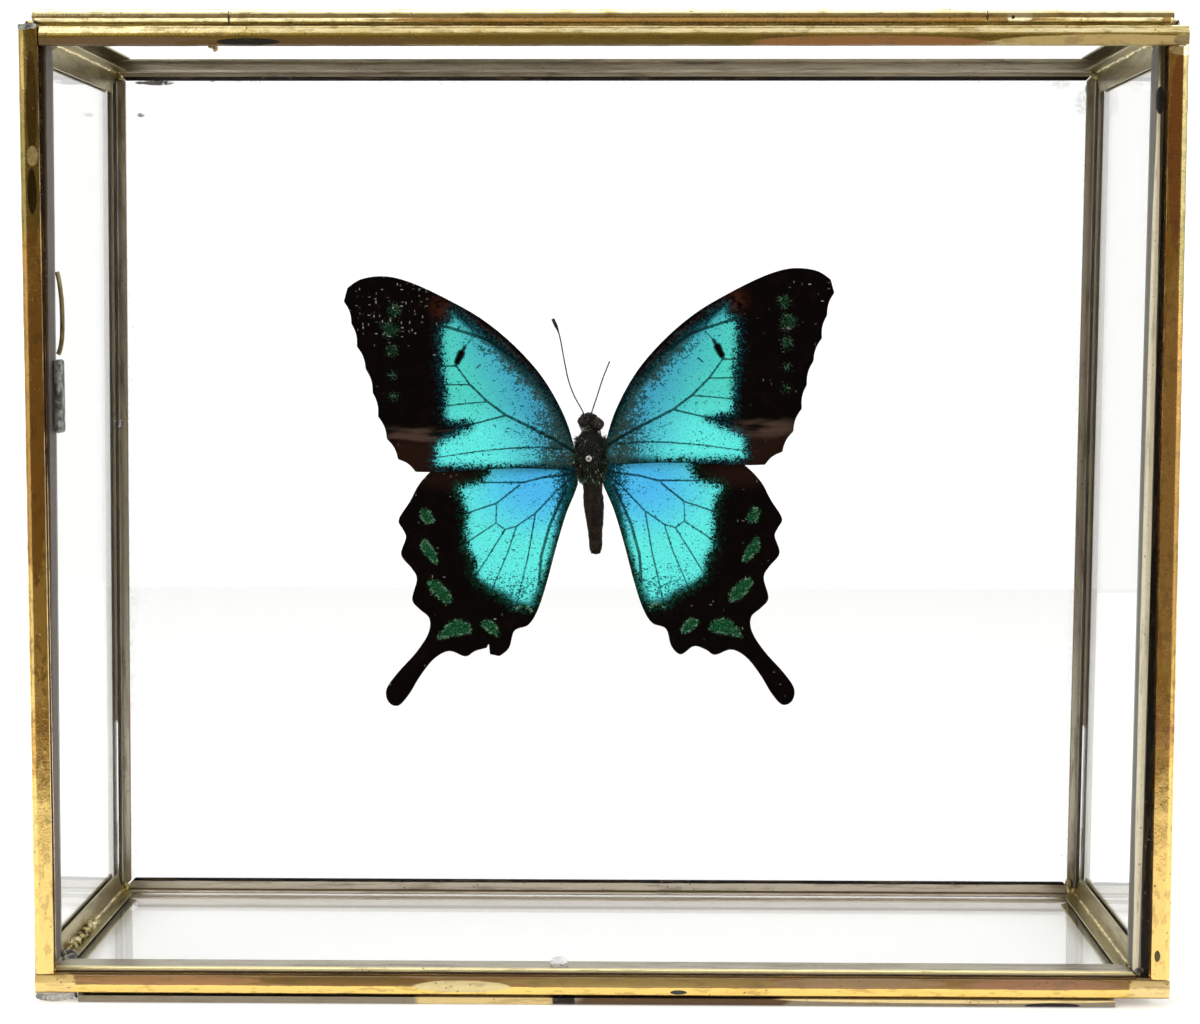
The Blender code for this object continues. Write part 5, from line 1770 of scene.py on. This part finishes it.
# %% Four bars
def make_lid():
    left = LID_CENTRE_X - LID_WIDTH / 2
    right = LID_CENTRE_X + LID_WIDTH / 2
    top = LID_BOTTOM + LID_HEIGHT
    above_bottom = LID_BOTTOM + LID_FACE + GAP
    bars = {
        "bottom": (0, left, right, LID_BOTTOM, 1, WIDE_FACET, brass_finish(
            "lid_bottom_brass", (0.86, 0.6, 0.18), (0.8, 0.53, 0.15), DEEP_GOLD, 0.36, 0.22,
            LID_BOTTOM_PATCHES, (0.3, 1, 1))),
        "top": (0, left + LID_FACE + GAP, right, top, -1, WIDE_FACET, brass_finish(
            "lid_top_brass", PALE_GOLD, (0.82, 0.66, 0.28), DEEP_GOLD, 0.4, 0.24,
            LID_TOP_PATCHES, (0.3, 1, 1))),
        "left": (2, above_bottom, top, left, 1, SLIM_FACET, brass_finish(
            "lid_left_brass", GOLD, DEEP_GOLD, AMBER, 0.5, 0.22, LID_LEFT_PATCHES, (1, 1, 0.5))),
        "right": (2, above_bottom, top - LID_FACE - GAP, right, -1, SLIM_FACET, brass_finish(
            "lid_right_brass", GOLD, DEEP_GOLD, RED_BROWN, 0.5, 0.22, LID_RIGHT_PATCHES,
            (1, 1, 0.5))),
    }
    for name, settings in bars.items():
        bar = make_channel(f"lid_bar_{name}", *settings)
        settle(bar, "lid", "bright_brass", f"lid_came_{name}")
        print(bar.name, len(bar.data.polygons), "faces")


make_lid()

# %% [markdown]
# The hinge's three lengths of tube keep their CAD shape and get a finish of their own.

# %% Hinge finish
HINGE_PATCHES = (
    ((-97.4, -32.6, 172.0), (1.0, 3.0, 1.2), (0.52, 0.42, 0.18), 0.3),
    ((20.0, -33.2, 171.4), (60.0, 2.0, 0.6), (0.36, 0.21, 0.06), 0.2),
    ((71.6, -33.2, 172.0), (2.2, 3.0, 1.3), (0.92, 0.84, 0.55), 0.08),
    ((70.5, -33.2, 171.8), (0.3, 3.0, 0.3), SOOT, 0.5),
    ((96.6, -33.2, 171.3), (0.8, 3.0, 0.7), (0.42, 0.26, 0.08), 0.3),
)
hinge_brass = brass_finish(
    "hinge_brass", (0.94, 0.85, 0.52), (0.84, 0.7, 0.34), DEEP_GOLD, 0.4, 0.2, HINGE_PATCHES,
    (0.3, 1, 1),
)
for part in ("left", "middle", "right"):
    dress(f"hinge_tube_{part}", hinge_brass)
print("hinge patches:", len(HINGE_PATCHES))

# %% [markdown]
# ## Solder
#
# The cames are joined by solder, which ran into their corners as beads and lumps. A lump is a few
# overlapping balls, fused by a voxel remesh and roughened: real solder has no edge that a
# primitive could give. The beads along the inner corners are wavy tubes.

# %% Making a lump
VOXEL = 0.22
RELAX_STEPS = 3


def case_point(x, y, z):
    """A point of the case, which leans a little to the right."""
    share = (z - CASE_BOTTOM) / (CASE_HIGH_Z - CASE_BOTTOM) - 0.5
    return Vector((x + CASE_CENTRE_X + CASE_LEAN * share, y, z))


def lump(name, balls, body, roughness=0.12, finish=SOLDER, slot="solder"):
    """balls are (x, y, z, radius) in millimetres, and so is the roughness."""
    bm = bmesh.new()
    for x, y, z, radius in balls:
        made = bmesh.ops.create_icosphere(bm, subdivisions=3, radius=radius)
        bmesh.ops.translate(bm, verts=made["verts"], vec=(x, y, z))
    rough = bpy.data.meshes.new(name)
    bm.to_mesh(rough)
    bm.free()
    obj = bpy.data.objects.new(name, rough)
    scene.collection.objects.link(obj)
    remesh = obj.modifiers.new("fuse", "REMESH")
    remesh.mode = "VOXEL"
    remesh.voxel_size = VOXEL
    relax = obj.modifiers.new("relax", "SMOOTH")
    relax.iterations = RELAX_STEPS
    evaluated = obj.evaluated_get(bpy.context.evaluated_depsgraph_get())
    fused = bpy.data.meshes.new_from_object(evaluated)
    obj.modifiers.clear()
    obj.data = fused
    for vertex in fused.vertices:
        wave = noise.noise(vertex.co * 0.9) + 0.5 * noise.noise(vertex.co * 2.3)
        vertex.co += vertex.normal * wave * roughness
        vertex.co *= MM
    fused.shade_smooth()
    fused.materials.clear()
    fused.materials.append(finish)
    return settle(obj, body, slot)


def scatter(seed, centre, spread, radii, count):
    """Balls at random in a box round the centre."""
    rng = random.Random(seed)
    return [(
        *(c + rng.uniform(-s, s) for c, s in zip(centre, spread)), rng.uniform(*radii)
    ) for _ in range(count)]


print("a lump is cut into cells of", VOXEL, "mm")

# %% [markdown]
# Every corner of the case has a lump behind and one in front. The seeds differ, so that no two
# lumps are alike, and stay the same from run to run.


# %% Lumps in the corners
def corner_lumps():
    inner = CASE_HALF_WIDTH - CAME
    for side_name, side in (("left", -1), ("right", 1)):
        for level_name, height in (("bottom", CASE_BOTTOM + CAME), ("top", CASE_HIGH_Z - CAME)):
            seed = len(side_name) * 10 + len(level_name)
            back = case_point(side * (inner - 0.2), CASE_BACK_Y - CAME - 0.3, height)
            lift = 0.4 if level_name == "bottom" else -0.4
            balls = scatter(seed, (back.x, back.y, back.z + lift), (0.7, 0.5, 0.7), (0.5, 0.9), 9)
            lump(f"solder_back_{level_name}_{side_name}", balls, "case", finish=LUMP_BRASS)
            front = case_point(side * (inner + 0.1), CASE_FRONT_Y + CAME + 1.4, height)
            balls = scatter(seed + 3, (front.x, front.y, front.z + lift), (0.7, 1.4, 0.7),
                            (0.5, 0.9), 9)
            lump(f"solder_front_{level_name}_{side_name}", balls, "case", finish=LUMP_BRASS)


corner_lumps()

# %% Crust, flux and single drops
corner_x = -CASE_HALF_WIDTH + CAME
crust = case_point(corner_x + 0.5, -8.0, CASE_BOTTOM + CAME + 0.5)
lump("solder_crust", scatter(5, crust, (0.8, 11.0, 0.6), (0.35, 0.75), 60), "case", 0.22,
     finish=LUMP_BRASS)
pool = case_point(corner_x + 1.0, -21.5, CASE_BOTTOM + CAME + 0.2)
lump("flux_pool", scatter(6, pool, (1.3, 3.2, 0.2), (0.45, 0.75), 24), "case", 0.12)
lump("solder_upright_left", scatter(
    8, case_point(corner_x, CASE_BACK_Y - CAME - 0.2, 100.0), (0.4, 0.3, 1.5), (0.4, 0.8), 7),
    "case")
ball = case_point(CASE_HALF_WIDTH - CAME - 1.2, CASE_BACK_Y - CAME - 0.2, CASE_BOTTOM + CAME + 1.6)
lump("solder_back_ball", scatter(9, ball, (0.2, 0.2, 1.2), (0.65, 0.85), 7), "case",
     finish=LUMP_BRASS)
lump("solder_lid_top_left", scatter(
    10, (-98.0, -32.2, 170.25), (1.2, 1.0, 0.2), (0.4, 0.7), 30), "lid", 0.08)
lump("solder_front_corner_left", scatter(
    12, (-95.0, -30.0, 8.0), (0.2, 0.05, 0.5), (0.3, 0.4), 6), "case", 0.05)
lump("solder_front_corner_right", scatter(
    13, (95.6, -30.0, 5.9), (0.6, 0.05, 0.25), (0.35, 0.45), 7), "case", 0.05)
lump("solder_drip", [
    (-66.6, -32.9, 167.0, 0.45), (-65.9, -32.9, 167.0, 0.5), (-65.6, -32.9, 166.6, 0.42),
    (-65.8, -32.9, 166.2, 0.3),
], "lid", 0.05, finish=WIRE_BRASS, slot="bright_brass")

# %% [markdown]
# Where a side pane meets the top or the bottom, solder stands in the corner as one thin bead. It
# could be a straight rod, but a real bead wanders and swells with the speed of the iron, so its
# route and its radius follow a slow noise.

# %% Solder beads along the inner corners
BEAD = 0.42
BEAD_STEP = 0.5
BEAD_END = 0.4
WANDER = 0.16
WANDER_SEED = 4
BEAD_BRASS = brass_finish("bead_brass", PALE_GOLD, (0.6, 0.52, 0.36), OLIVE, 0.42, 0.26)


def bead(name, start, end, radius):
    steps = int((end - start).length / BEAD_STEP)
    route, radii = [], []
    for i in range(steps + 1):
        place = start.lerp(end, i / steps)
        wave = noise.noise_vector(place * 0.35) * WANDER
        route.append(place + wave)
        radii.append(radius * (1.0 + 0.35 * noise.noise(place * 0.8)))
    radii[0] = radii[-1] = radius * BEAD_END
    obj = mesh_object(name, *tube(route, radii, 12), BEAD_BRASS)
    return settle(obj, "case", "dull_brass")


# without a seed, noise_vector would give other beads in every run
noise.seed_set(WANDER_SEED)
inner = CASE_HALF_WIDTH - CAME
low, high = CASE_BOTTOM + CAME, CASE_HIGH_Z - CAME
near_y, far_y = CASE_FRONT_Y + CAME, CASE_BACK_Y - CAME
for side_name, side in (("left", -1), ("right", 1)):
    for level_name, height in (("bottom", low), ("top", high)):
        bead(f"bead_{level_name}_{side_name}", case_point(side * inner, near_y + 0.5, height),
             case_point(side * inner, far_y - 0.5, height), BEAD)
print("beads made")

# %% [markdown]
